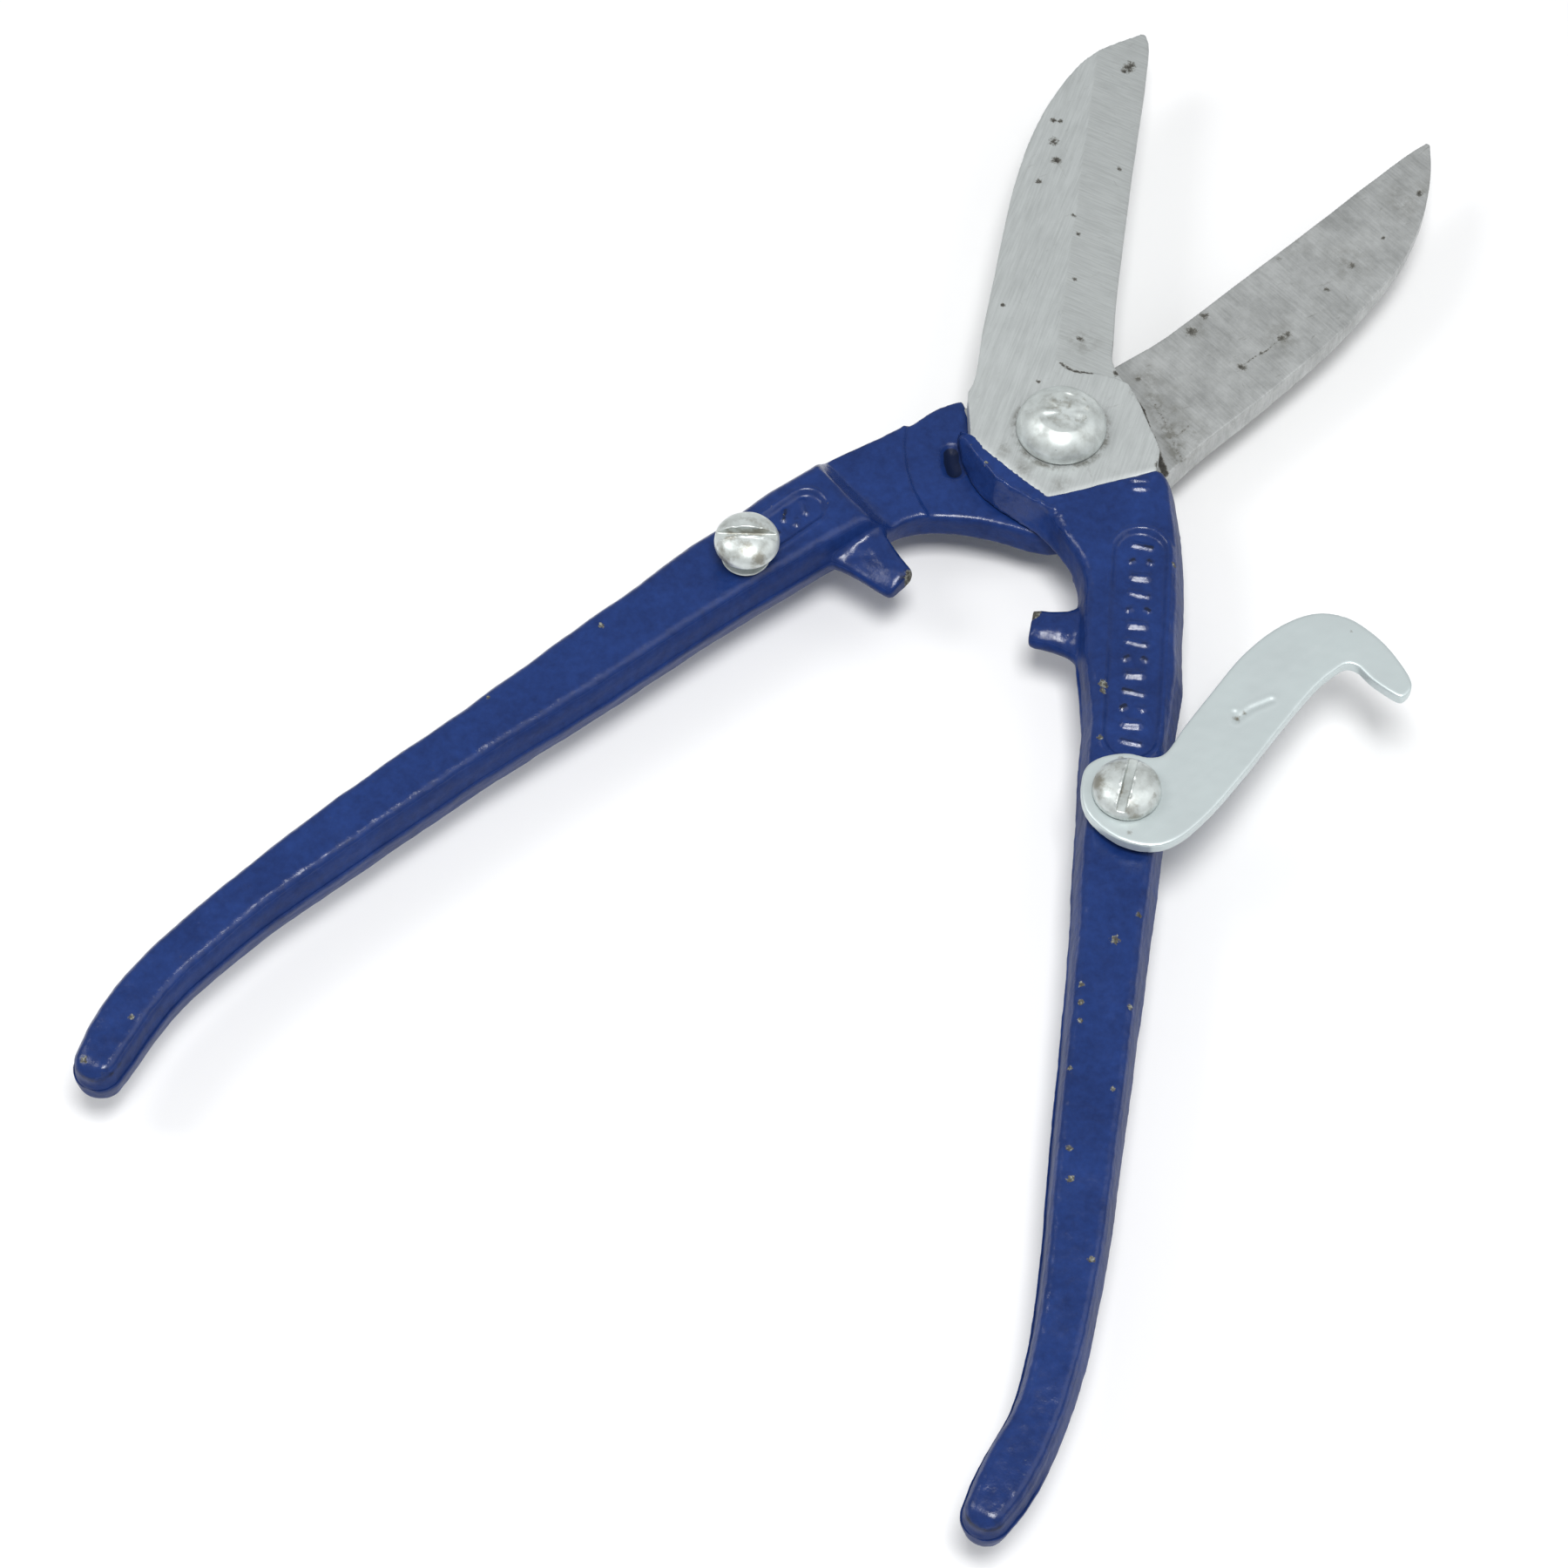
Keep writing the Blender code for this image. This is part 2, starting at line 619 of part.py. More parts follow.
right_handle = handle("right_handle", right_arm, RIGHT_NECK, RIGHT_GRIP, GRIP_ENDS[0], RIGHT_LUG, enamel)
left_handle = handle("left_handle", left_arm, LEFT_NECK, LEFT_GRIP, GRIP_ENDS[1], LEFT_LUG, enamel)
front_blade = blade("front_blade", right_arm, FRONT_EDGE, FRONT_SPINE, blade_steel)
back_blade = blade("back_blade", left_arm, BACK_EDGE, BACK_SPINE, blade_steel)

def panel(name, start, end, half_width, depth):
    outline = stadium(start, end, half_width)
    return prism(name, outline, TOP_Z - depth, TOP_Z + 5.0, CUTTERS)


def tapped_hole(name, radius, centre):
    return cylinder(name, radius + GAP, TOP_Z - SCREW_DEPTH - 0.5, TOP_Z + 5.0, *centre, 32, CUTTERS)


# Shallow panels in the upper faces, and the tapped holes for the two screws.
boolean(right_handle, panel("right_panel", *RIGHT_PANEL))
boolean(right_handle, tapped_hole("right_hole", LATCH_NECK_R, LATCH_PIVOT))
boolean(left_handle, panel("left_panel", *LEFT_PANEL))
boolean(left_handle, tapped_hole("left_hole", NECK_R, CATCH_POS))

# Pivot bolt, washer and nut.
under = LAP_Z - HALF_T - GAP
head = [(r, z + TOP_Z + GAP) for r, z in domed_head(BOLT_HEAD_R, HEAD_RIM_H, BOLT_DOME_H, 0.52)]
shank = [(BOLT_R, TOP_Z + GAP), (BOLT_R, 0.5), (BOLT_R - 0.5, 0.0), (0.0, 0.0)]
pivot_bolt = turned("pivot_bolt", head + shank, 0.0, 0.0, zinc, steps=56)
pivot_washer = washer("pivot_washer", 8.0, BOLT_R + GAP, under - WASHER_T, WASHER_T, 0.0, 0.0, zinc, 48)
nut_z = under - WASHER_T - GAP - NUT_T
pivot_nut = cylinder("pivot_nut", NUT_FLATS / math.sqrt(3), nut_z, nut_z + NUT_T, sides=6, mat=zinc)
edge_break = pivot_nut.modifiers.new("edge_break", "BEVEL")
edge_break.width = 0.5 * MM
edge_break.segments = 1
edge_break.limit_method = "ANGLE"
edge_break.angle_limit = math.radians(80)
nut_bore = cylinder("nut_bore", BOLT_R + GAP, nut_z - 3.0, nut_z + NUT_T + 3.0, coll=CUTTERS)
boolean(pivot_nut, nut_bore)

# Latch and catch. The latch's own origin is on its screw's axis, which it swings about.
latch_hook = latch_plate(latch_zinc, LATCH_NECK_R + GAP)
latch_screw = screw(
    "latch_screw", LATCH_HEAD_R, LATCH_HEAD_Z, LATCH_NECK_R, LATCH_PIVOT, LATCH_SLOT_TURN, zinc
)
latch_washer = washer(
    "latch_washer", 5.0, LATCH_NECK_R + GAP, TOP_Z + GAP, SCREW_WASHER_T, *LATCH_PIVOT, zinc
)
catch_screw = screw(
    "catch_screw", CATCH_HEAD_R, CATCH_HEAD_Z, NECK_R, CATCH_POS, CATCH_SLOT_TURN, zinc
)
# The catch's loose washer has slid a little to one side.
catch_washer = washer(
    "catch_washer", 4.2, NECK_R + 0.6, TOP_Z + GAP, SCREW_WASHER_T, CATCH_POS[0] - 0.1, CATCH_POS[1] - 0.25, zinc
)
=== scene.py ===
import math

import bmesh
import bpy
import numpy as np
from mathutils import Matrix, Vector

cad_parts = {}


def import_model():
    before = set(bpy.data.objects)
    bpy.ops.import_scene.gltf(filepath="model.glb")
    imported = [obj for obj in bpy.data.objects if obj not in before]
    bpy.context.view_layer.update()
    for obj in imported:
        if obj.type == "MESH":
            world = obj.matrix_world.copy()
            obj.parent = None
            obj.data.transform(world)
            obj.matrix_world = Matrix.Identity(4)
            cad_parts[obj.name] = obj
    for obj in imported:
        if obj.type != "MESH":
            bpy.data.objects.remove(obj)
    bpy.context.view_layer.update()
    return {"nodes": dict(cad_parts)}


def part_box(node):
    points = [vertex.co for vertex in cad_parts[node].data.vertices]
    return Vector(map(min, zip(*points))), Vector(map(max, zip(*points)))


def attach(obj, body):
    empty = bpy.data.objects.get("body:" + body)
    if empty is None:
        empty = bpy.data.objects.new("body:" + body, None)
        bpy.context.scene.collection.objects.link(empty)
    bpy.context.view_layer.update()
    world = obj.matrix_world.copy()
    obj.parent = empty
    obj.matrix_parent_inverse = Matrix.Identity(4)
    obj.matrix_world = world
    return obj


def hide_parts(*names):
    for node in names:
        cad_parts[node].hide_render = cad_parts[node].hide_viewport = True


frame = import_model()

MM = 0.001
scene = bpy.context.scene

LAP_Z = 14.8             # the plane where the two arms meet
HALF_T = 6.0             # each arm's thickness on its own side of that plane
PIVOT = (0.0, 0.0)
LATCH_PIVOT = (43.6, -63.1)
CATCH_POS = (-35.0, -50.1)
LATCH_SLOT_TURN = 104.0  # degrees
CATCH_SLOT_TURN = 27.0
WELD = 0.000002          # metres: CAD corners closer than this are one

# grain of each remeshed skin
HANDLE_VOXEL = 0.32
BLADE_VOXEL = 0.26
LATCH_VOXEL = 0.22
SCREW_VOXEL = 0.13


# ---------------------------------------------------------------- mesh building
def new_object(name, verts, faces):
    """A mesh object from points in millimetres."""
    mesh = bpy.data.meshes.new(name)
    mesh.from_pydata([tuple(c * MM for c in v) for v in verts], [], faces)
    obj = bpy.data.objects.new(name, mesh)
    scene.collection.objects.link(obj)
    return obj


def cad_copy(node, name):
    """A welded copy of a CAD node's mesh, as an object of its own."""
    bm = bmesh.new()
    bm.from_mesh(frame["nodes"][node].data)
    bmesh.ops.remove_doubles(bm, verts=bm.verts, dist=WELD)
    verts = [tuple(v.co / MM) for v in bm.verts]
    faces = [[v.index for v in f.verts] for f in bm.faces]
    bm.free()
    return new_object(name, verts, faces)


def settle(obj):
    """Turn an object's modifiers into plain mesh."""
    mesh = bpy.data.meshes.new_from_object(obj.evaluated_get(bpy.context.evaluated_depsgraph_get()))
    obj.modifiers.clear()
    obj.data = mesh
    mesh.name = obj.name
    return obj


def remesh(obj, voxel, rounds):
    """Even skin of the given grain, with its edges softened by some rounds of smoothing."""
    skin = obj.modifiers.new("skin", "REMESH")
    skin.mode = "VOXEL"
    skin.voxel_size = voxel * MM
    soften = obj.modifiers.new("soften", "SMOOTH")
    soften.factor = 0.5
    soften.iterations = rounds
    return settle(obj)


def cut(obj, tool):
    """Cut the tool's shape out of a piece, and remove the tool."""
    mod = obj.modifiers.new("cut", "BOOLEAN")
    mod.operation = "DIFFERENCE"
    mod.solver = "EXACT"
    mod.object = tool
    settle(obj)
    bpy.data.objects.remove(tool, do_unlink=True)


def lathe(name, profile, sides, ring_shaped=False, warp=None):
    """Turn a profile of (radius, height) about Z. warp(turn, radius, height) may move each radius.

    A ring_shaped profile closes on itself; any other starts and ends on the axis.
    """
    verts, rows = [], []
    for radius, height in profile:
        if radius < 1e-6:
            rows.append([len(verts)] * sides)
            verts.append((0.0, 0.0, height))
            continue
        rows.append(list(range(len(verts), len(verts) + sides)))
        for k in range(sides):
            turn = 2 * math.pi * k / sides
            r = warp(turn, radius, height) if warp else radius
            verts.append((r * math.cos(turn), r * math.sin(turn), height))
    faces = []
    pairs = list(zip(rows, rows[1:])) + ([(rows[-1], rows[0])] if ring_shaped else [])
    for a, b in pairs:
        for k in range(sides):
            j = (k + 1) % sides
            corners = [a[k], b[k], b[j], a[j]]
            faces.append(list(dict.fromkeys(corners)))
    return new_object(name, verts, faces)


def rounded(points, radius, steps=4):
    """Round each inner corner of an open profile."""
    out = [points[0]]
    for before, p, after in zip(points, points[1:], points[2:]):
        p, a, b = Vector(p), Vector(before), Vector(after)
        reach = min(radius, (a - p).length * 0.45, (b - p).length * 0.45)
        start, end = p + (a - p).normalized() * reach, p + (b - p).normalized() * reach
        for k in range(steps + 1):
            t = k / steps
            out.append(tuple(start * (1 - t) ** 2 + p * 2 * t * (1 - t) + end * t ** 2))
    return out + [points[-1]]


def place(obj, x, y, z):
    """Move a piece's mesh, leaving its origin where it is."""
    obj.data.transform(Matrix.Translation((x * MM, y * MM, z * MM)))
    return obj


# ---------------------------------------------------------------- working a skin
def waves(co, length, seed):
    """A smooth random field of about unit strength whose features are about `length` across."""
    rng = np.random.default_rng(seed)
    out = np.zeros(len(co))
    for _ in range(14):
        heading = rng.normal(size=3)
        heading /= np.linalg.norm(heading)
        size = length * rng.uniform(0.7, 1.6)
        out += np.sin(co @ heading * (2 * math.pi / size) + rng.uniform(0, 2 * math.pi))
    return out / math.sqrt(7)


def ease(x):
    """A smooth step from 0 at 0 to 1 at 1."""
    x = np.clip(x, 0.0, 1.0)
    return x * x * (3 - 2 * x)


def rise(x, start, width):
    """0 up to `start`, then easing to 1 over `width`."""
    return ease((x - start) / width)


def drop(x, end, width):
    """1, easing down over `width` to 0 at `end`."""
    return ease((end - x) / width)


def hump(x, centre, width):
    """1 at `centre`, easing to 0 at `width` to either side."""
    return ease(1.0 - np.abs(x - centre) / width)


def from_line(plan, path):
    """Distance in plan of each point from a line through several corners."""
    best = np.full(len(plan), 1e9)
    for a, b in zip(path, path[1:]):
        a, b = np.array(a), np.array(b)
        run = b - a
        t = np.clip((plan - a) @ run / (run @ run), 0.0, 1.0)
        best = np.minimum(best, np.linalg.norm(plan - a - t[:, None] * run, axis=1))
    return best


def from_point(plan, point):
    """Distance in plan of each point from one place."""
    return np.hypot(plan[:, 0] - point[0], plan[:, 1] - point[1])


def beside(plan, path, reach):
    """1 on a line in plan, easing to 0 at `reach` from it."""
    return drop(from_line(plan, path), reach, reach)


class Skin:
    """The vertices of a piece in millimetres, with their normals and neighbours."""

    def __init__(self, obj):
        self.obj = obj
        mesh = obj.data
        count = len(mesh.vertices)
        self.co = np.empty(count * 3)
        mesh.vertices.foreach_get("co", self.co)
        self.co = self.co.reshape(-1, 3) / MM
        self.normal = np.empty(count * 3)
        mesh.vertices.foreach_get("normal", self.normal)
        self.normal = self.normal.reshape(-1, 3)
        pairs = np.empty(len(mesh.edges) * 2, dtype=np.int64)
        mesh.edges.foreach_get("vertices", pairs)
        self.pairs = pairs.reshape(-1, 2)
        self.valence = np.bincount(pairs, minlength=count).astype(float)

    def spread(self, values, rounds):
        """Average some values with their neighbours' a number of times."""
        a, b = self.pairs[:, 0], self.pairs[:, 1]
        count = len(self.co)
        for _ in range(rounds):
            total = np.bincount(a, values[b], count) + np.bincount(b, values[a], count)
            values = 0.5 * values + 0.5 * total / self.valence
        return values

    def bulge(self, rounds):
        """How far each point stands proud of its neighbourhood: positive on outer edges."""
        calm = np.stack([self.spread(self.co[:, k], rounds) for k in range(3)], axis=1)
        return ((self.co - calm) * self.normal).sum(axis=1)

    def soften(self, share, rounds, axes=(1.0, 1.0, 1.0)):
        """Smooth the surface where share is 1, by a part of the way along each axis."""
        calm = np.stack([self.spread(self.co[:, k], rounds) for k in range(3)], axis=1)
        self.co += (calm - self.co) * share[:, None] * np.array(axes)

    def push(self, amount):
        """Move each point along its normal."""
        self.co += self.normal * amount[:, None]

    def paint(self, name, values):
        """Keep some values as a point attribute, for the material to read."""
        layer = self.obj.data.attributes.new(name, "FLOAT", "POINT")
        layer.data.foreach_set("value", values.astype(np.float32))

    def done(self):
        """Write the worked points back to the mesh."""
        self.obj.data.vertices.foreach_set("co", (self.co * MM).ravel())
        self.obj.data.shade_smooth()
        self.obj.data.update()


# ---------------------------------------------------------------- materials
# linear colours
BLUE_DEEP = (0.0058, 0.0200, 0.098)
BLUE_BRIGHT = (0.0115, 0.0360, 0.162)
# darker blue of thinned paint, also used as painted shade in the hollow beside the lip
BLUE_THIN_PAINT_AND_SHADE = (0.006, 0.012, 0.040)
BLUE_SPECK = (0.035, 0.040, 0.060)
CHIP_BLACK = (0.018, 0.018, 0.018)
CHIP_OLIVE = (0.070, 0.066, 0.052)
CHIP_METAL = (0.26, 0.27, 0.235)
FRONT_LIGHT, FRONT_DARK = (0.555, 0.585, 0.58), (0.44, 0.465, 0.46)
BACK_LIGHT, BACK_DARK = (0.475, 0.49, 0.485), (0.30, 0.31, 0.305)
BAND_GREY = (0.30, 0.31, 0.30)
DASH_GREY = (0.20, 0.20, 0.185)
# stain colours, also used for painted shade beside the boss's shoulder
STAIN_AND_SHADE_EDGE, STAIN_AND_SHADE_CORE = (0.16, 0.158, 0.14), (0.040, 0.038, 0.033)
# grey of soot patches and of the painted shadow round the bolt head
SOOT_AND_SHADOW_GREY = (0.20, 0.20, 0.18)
ZINC_DULL, ZINC_MID, ZINC_BRIGHT = (0.36, 0.38, 0.36), (0.56, 0.60, 0.585), (0.70, 0.75, 0.74)
# brown of stains, also used as painted shade on one wall of the screws' slots
ZINC_BROWN = (0.20, 0.185, 0.14)
ZINC_SPECK = (0.09, 0.10, 0.10)
LATCH_DULL, LATCH_BRIGHT = (0.54, 0.595, 0.60), (0.60, 0.675, 0.675)
LATCH_BROWN = (0.21, 0.20, 0.165)


def add(tree, kind, inputs=None, **settings):
    """A shader node with its inputs set or linked."""
    node = tree.nodes.new("ShaderNode" + kind)
    for key, value in settings.items():
        setattr(node, key, value)
    for key, value in (inputs or {}).items():
        if isinstance(value, bpy.types.NodeSocket):
            tree.links.new(value, node.inputs[key])
        else:
            node.inputs[key].default_value = value
    return node


def ramp(tree, value, *stops):
    """A colour ramp through (position, colour or grey) stops."""
    node = add(tree, "ValToRGB", {"Fac": value})
    elements = node.color_ramp.elements
    while len(elements) < len(stops):
        elements.new(0.5)
    for element, (position, colour) in zip(elements, stops):
        element.position = position
        element.color = (*colour, 1.0) if isinstance(colour, tuple) else (colour, colour, colour, 1.0)
    return node.outputs["Color"]


def mix(tree, share, first, second):
    """The first colour, or the second where the share is 1."""
    def colour(value):
        return (*value, 1.0) if isinstance(value, tuple) else value
    inputs = {"Fac": share, "Color1": colour(first), "Color2": colour(second)}
    return add(tree, "MixRGB", inputs).outputs["Color"]


def math_node(tree, operation, first, second):
    return add(tree, "Math", {0: first, 1: second}, operation=operation).outputs["Value"]


def product(tree, first, second):
    return math_node(tree, "MULTIPLY", first, second)


def grain(tree, scale, detail=4.0, roughness=0.55, turn=0.0, stretch=(1.0, 1.0, 1.0)):
    """Noise on the piece's own coordinates, which may be turned about Z and drawn out."""
    where = add(tree, "TexCoord").outputs["Object"]
    turned = add(tree, "Mapping", {"Vector": where, "Rotation": (0.0, 0.0, turn)})
    drawn = add(tree, "Mapping", {"Vector": turned.outputs["Vector"], "Scale": stretch})
    noise = add(tree, "TexNoise", {
        "Vector": drawn.outputs["Vector"], "Scale": scale, "Detail": detail, "Roughness": roughness,
    })
    return noise.outputs["Fac"]


def frayed(tree, value, strength, scale, detail, roughness=0.55):
    """A value with noise on it, so that a ramp through it has a ragged edge."""
    noise = math_node(tree, "SUBTRACT", grain(tree, scale, detail, roughness), 0.5)
    return math_node(tree, "ADD", value, product(tree, noise, strength))


def attribute(tree, name):
    return add(tree, "Attribute", attribute_name=name).outputs["Fac"]


def bump(tree, height, strength, distance, below=None):
    """A bump of some millimetres, which may lie on the normal of another bump."""
    inputs = {"Height": height, "Strength": strength, "Distance": distance * MM}
    if below is not None:
        inputs["Normal"] = below
    return add(tree, "Bump", inputs).outputs["Normal"]


def new_material(name, **constants):
    """A material with some of its shader's sockets set; _ stands for a space in their names."""
    mat = bpy.data.materials.new(name)
    mat.use_nodes = True
    shader = mat.node_tree.nodes["Principled BSDF"]
    for key, value in constants.items():
        shader.inputs[key.replace("_", " ")].default_value = value
    return mat, mat.node_tree, shader


def wire(tree, shader, **sockets):
    """Link outputs to the shader's sockets; _ stands for a space in their names."""
    for key, value in sockets.items():
        tree.links.new(value, shader.inputs[key.replace("_", " ")])


def enamel_material():
    """Thick glossy blue enamel over forged steel, chipped to dull metal where 'wear' is high.

    It is darker blue where its paint-thickness attribute is high: on sharp edges where the paint is thinned, and as
    painted shade in the hollow beside the lip. It is duller where 'flank' is 1.
    """
    mat, tree, shader = new_material("blue_enamel")
    cloud = mix(tree, 0.55, grain(tree, 90.0, 3.0), grain(tree, 620.0, 5.0, 0.7))
    blue = ramp(tree, cloud, (0.36, BLUE_DEEP), (0.64, BLUE_BRIGHT))
    # darker blue for thinned paint on edges, and painted shade in the hollow beside the lip
    thin_paint_and_shade = frayed(tree, attribute(tree, "thin_paint_and_shade"), 0.5, 1400.0, 4.0)
    blue = mix(tree, ramp(tree, thin_paint_and_shade, (0.35, 0.0), (0.75, 1.0)), blue, BLUE_THIN_PAINT_AND_SHADE)
    speck = ramp(tree, grain(tree, 520.0, 5.0, 0.62), (0.705, 0.0), (0.735, 1.0))
    blue = mix(tree, product(tree, speck, 0.35), blue, BLUE_SPECK)
    wear = frayed(tree, attribute(tree, "wear"), 1.3, 1700.0, 5.0, 0.7)
    chipped = ramp(tree, wear, (0.50, 0.0), (0.58, 1.0))
    metal = ramp(tree, grain(tree, 1500.0, 5.0, 0.7), (0.34, CHIP_BLACK), (0.50, CHIP_OLIVE), (0.62, CHIP_METAL))
    flank = attribute(tree, "flank")
    glossy = ramp(tree, grain(tree, 260.0, 4.0), (0.30, 0.16), (0.70, 0.26))
    gloss = mix(tree, flank, glossy, (0.42, 0.42, 0.42))
    orange_peel = bump(tree, grain(tree, 800.0, 5.0, 0.65), 0.60, 0.13)
    wire(tree, shader,
         Base_Color=mix(tree, chipped, blue, metal),
         Roughness=mix(tree, chipped, gloss, (0.62, 0.62, 0.62)),
         Specular_IOR_Level=ramp(tree, flank, (0.0, 0.42), (1.0, 0.12)),
         Normal=bump(tree, chipped, -0.5, 0.08, orange_peel))
    return mat


def steel_material(name, light, dark, sweep, band_sweep, blotch):
    """Ground steel. Its marks run along `sweep` (radians), or along `band_sweep` where 'band' is 1.

    A share of `blotch` is cloud instead of marks. 'wear' stains it, and beside the boss's shoulder it darkens it as
    painted shade. The soot attribute greys it in patches, and in a ring round the bolt head as a painted shadow.
    """
    mat, tree, shader = new_material(name, Metallic=0.40)
    fine = grain(tree, 1.0, 4.0, 0.6, -sweep, (160.0, 2600.0, 400.0))
    wide = grain(tree, 1.0, 3.0, 0.5, -sweep, (45.0, 620.0, 200.0))
    cross = grain(tree, 1.0, 4.0, 0.6, -band_sweep, (200.0, 3000.0, 400.0))
    band = attribute(tree, "band")
    marks = mix(tree, band, mix(tree, 0.30, fine, wide), cross)
    tone = mix(tree, blotch, marks, grain(tree, 170.0, 6.0, 0.72))
    colour = ramp(tree, tone, (0.38, dark), (0.60, light))
    colour = mix(tree, product(tree, band, 0.16), colour, BAND_GREY)
    for turn in (-0.9, 0.7, 1.9):
        scratches = grain(tree, 1.0, 6.0, 0.68, turn, (230.0, 900.0, 400.0))
        dash = ramp(tree, scratches, (0.64, 0.0), (0.73, 1.0))
        colour = mix(tree, product(tree, dash, blotch), colour, DASH_GREY)
    # 'wear' brings real stains and painted shade alike into the stain colours
    stain = frayed(tree, attribute(tree, "wear"), 1.5, 1300.0, 5.0, 0.75)
    stain_and_shade = ramp(tree, stain, (0.45, 0.0), (0.70, 1.0))
    colour = mix(tree, stain_and_shade, colour, ramp(tree, stain, (0.55, STAIN_AND_SHADE_EDGE), (0.95, STAIN_AND_SHADE_CORE)))
    patch = ramp(tree, grain(tree, 420.0, 6.0, 0.72), (0.44, 0.05), (0.60, 0.80))
    # the soot attribute greys it in patches, and also holds the painted shadow round the bolt head
    colour = mix(tree, product(tree, attribute(tree, "soot_and_shadow"), patch), colour, SOOT_AND_SHADOW_GREY)
    rough = ramp(tree, marks, (0.30, 0.46), (0.70, 0.34))
    scratched = bump(tree, marks, 0.28, 0.030)
    wire(tree, shader,
         Base_Color=colour,
         Roughness=mix(tree, stain_and_shade, rough, (0.7, 0.7, 0.7)),
         Normal=bump(tree, stain_and_shade, -0.5, 0.05, scratched))
    return mat


def zinc_material():
    """Bright zinc plate with cloudy stains, browned by 'wear' and specked by 'speckle'. On the screws 'wear' also
    darkens one wall of the slot as painted shade.
    """
    mat, tree, shader = new_material("zinc_plate", Metallic=0.40)
    cloud = grain(tree, 330.0, 5.0, 0.6)
    colour = ramp(tree, cloud, (0.28, ZINC_DULL), (0.50, ZINC_MID), (0.75, ZINC_BRIGHT))
    brown = ramp(tree, frayed(tree, attribute(tree, "wear"), 1.6, 700.0, 5.0, 0.65), (0.42, 0.0), (0.85, 1.0))
    colour = mix(tree, product(tree, brown, 0.75), colour, ZINC_BROWN)
    specks = ramp(tree, grain(tree, 1100.0, 6.0, 0.7), (0.655, 0.0), (0.71, 1.0))
    colour = mix(tree, product(tree, specks, attribute(tree, "speckle")), colour, ZINC_SPECK)
    wire(tree, shader,
         Base_Color=colour,
         Roughness=ramp(tree, cloud, (0.30, 0.46), (0.70, 0.30)),
         Normal=bump(tree, grain(tree, 900.0, 5.0, 0.6), 0.20, 0.04))
    return mat


def latch_material():
    """Pale blue passivated zinc on rolled plate, faintly clouded, browned by 'wear'."""
    mat, tree, shader = new_material("latch_zinc", Metallic=0.45)
    cloud = grain(tree, 60.0, 4.0, 0.55)
    streak = grain(tree, 1.0, 4.0, 0.6, -1.25, (60.0, 900.0, 300.0))
    colour = ramp(tree, mix(tree, 0.35, cloud, streak), (0.30, LATCH_DULL), (0.65, LATCH_BRIGHT))
    stain = frayed(tree, attribute(tree, "wear"), 1.0, 1200.0, 5.0, 0.7)
    colour = mix(tree, ramp(tree, stain, (0.45, 0.0), (0.80, 1.0)), colour, LATCH_BROWN)
    wire(tree, shader,
         Base_Color=colour,
         Roughness=ramp(tree, streak, (0.30, 0.42), (0.70, 0.33)),
         Normal=bump(tree, grain(tree, 420.0, 4.0, 0.6), 0.10, 0.05))
    return mat


enamel = enamel_material()
front_steel = steel_material("front_blade_steel", FRONT_LIGHT, FRONT_DARK, math.radians(100), math.radians(5), 0.25)
back_steel = steel_material("back_blade_steel", BACK_LIGHT, BACK_DARK, math.radians(-20), math.radians(-20), 0.60)
zinc = zinc_material()
latch_zinc = latch_material()


def hand_over(obj, mat, slot, body, *nodes):
    """Finish a piece: its material, the body it rides on and the nodes it stands for. Its slot is not used."""
    obj.data.materials.clear()
    obj.data.materials.append(mat)
    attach(obj, body)
    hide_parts(*nodes)


# ---------------------------------------------------------------- handles
# Lines of the lip, the lug, the lap and the paint are in right-arm form: in plan about the pivot. The
# left arm is the same forging turned over, so its x and its height change sign. The hollow, the panels,
# the marks and the chips are where they lie on the finished tool.
PAINT_V = [(-24.0, -4.4), (-13.3, -9.0), (4.5, -13.8), (18.4, 0.3), (27.0, 9.0)]
PAINT_EDGE = PAINT_V[1:4]
LAP_R = 27.3                                    # radius of the machined lap
CREST = [
    (-17.0, -8.6), (-14.0, -9.9), (-12.3, -10.7), (-5.2, -14.5), (0.0, -15.4), (4.9, -15.7), (9.0, -17.0),
]
LIP_ZONE = [(-13.4, -9.2), (-5.0, -12.6), (5.0, -14.8)]
LIP_END = [(-14.4, -8.4), (-13.6, -11.8)]
LIP_TIP = (-12.6, -9.6)
LIP_INSET = 0.1                                 # the strip's depth below the blade's face, and its width
LIP_SLOPE = 2.6                                 # fall of the wall beyond the strip, per millimetre
LUG_RUN = [(11.0, -37.0), (17.0, -34.5), (22.0, -32.5)]
LUG_EDGE = [(13.4, -38.6), (17.9, -36.6), (21.9, -34.8)]
LUG_FACE = [(11.0, -33.5), (12.8, -40.6)]
RIPPLES = [(13.0, 0.030), (5.0, 0.026), (2.0, 0.013), (1.1, 0.006)]     # length and height
BEADS = [                                       # path, width and height of a raised line of paint
    (CREST[1:6] + [(6.4, -15.4)], 0.75, 0.34),
    ([(5.6, -13.7), (12.3, -6.9), (18.9, -0.5)], 0.9, 0.20),
    ([(7.2, -17.7), (8.1, -16.0)], 0.6, 0.34),
    ([(7.2, -17.7), (10.2, -18.6), (13.4, -22.0)], 0.7, 0.30),
]
UNDERCUT = [(-16.4, -9.6), (-15.5, -11.2), (-14.2, -12.6)]
PANELS = {                                      # each end of the panel's middle line, and its half width
    "right_handle": ((23.6, -16.4), (38.4, -50.2), 4.7),
    "left_handle": ((-31.2, -35.6), (-34.4, -43.6), 3.3),
}
PANEL_RUN = ((23.0, -14.6), (38.8, -51.0))
MARKS = 13
RIGHT_GLINTS = [[(16.1, -3.6), (17.9, -2.6)], [(16.7, -5.0), (18.5, -4.1)]]
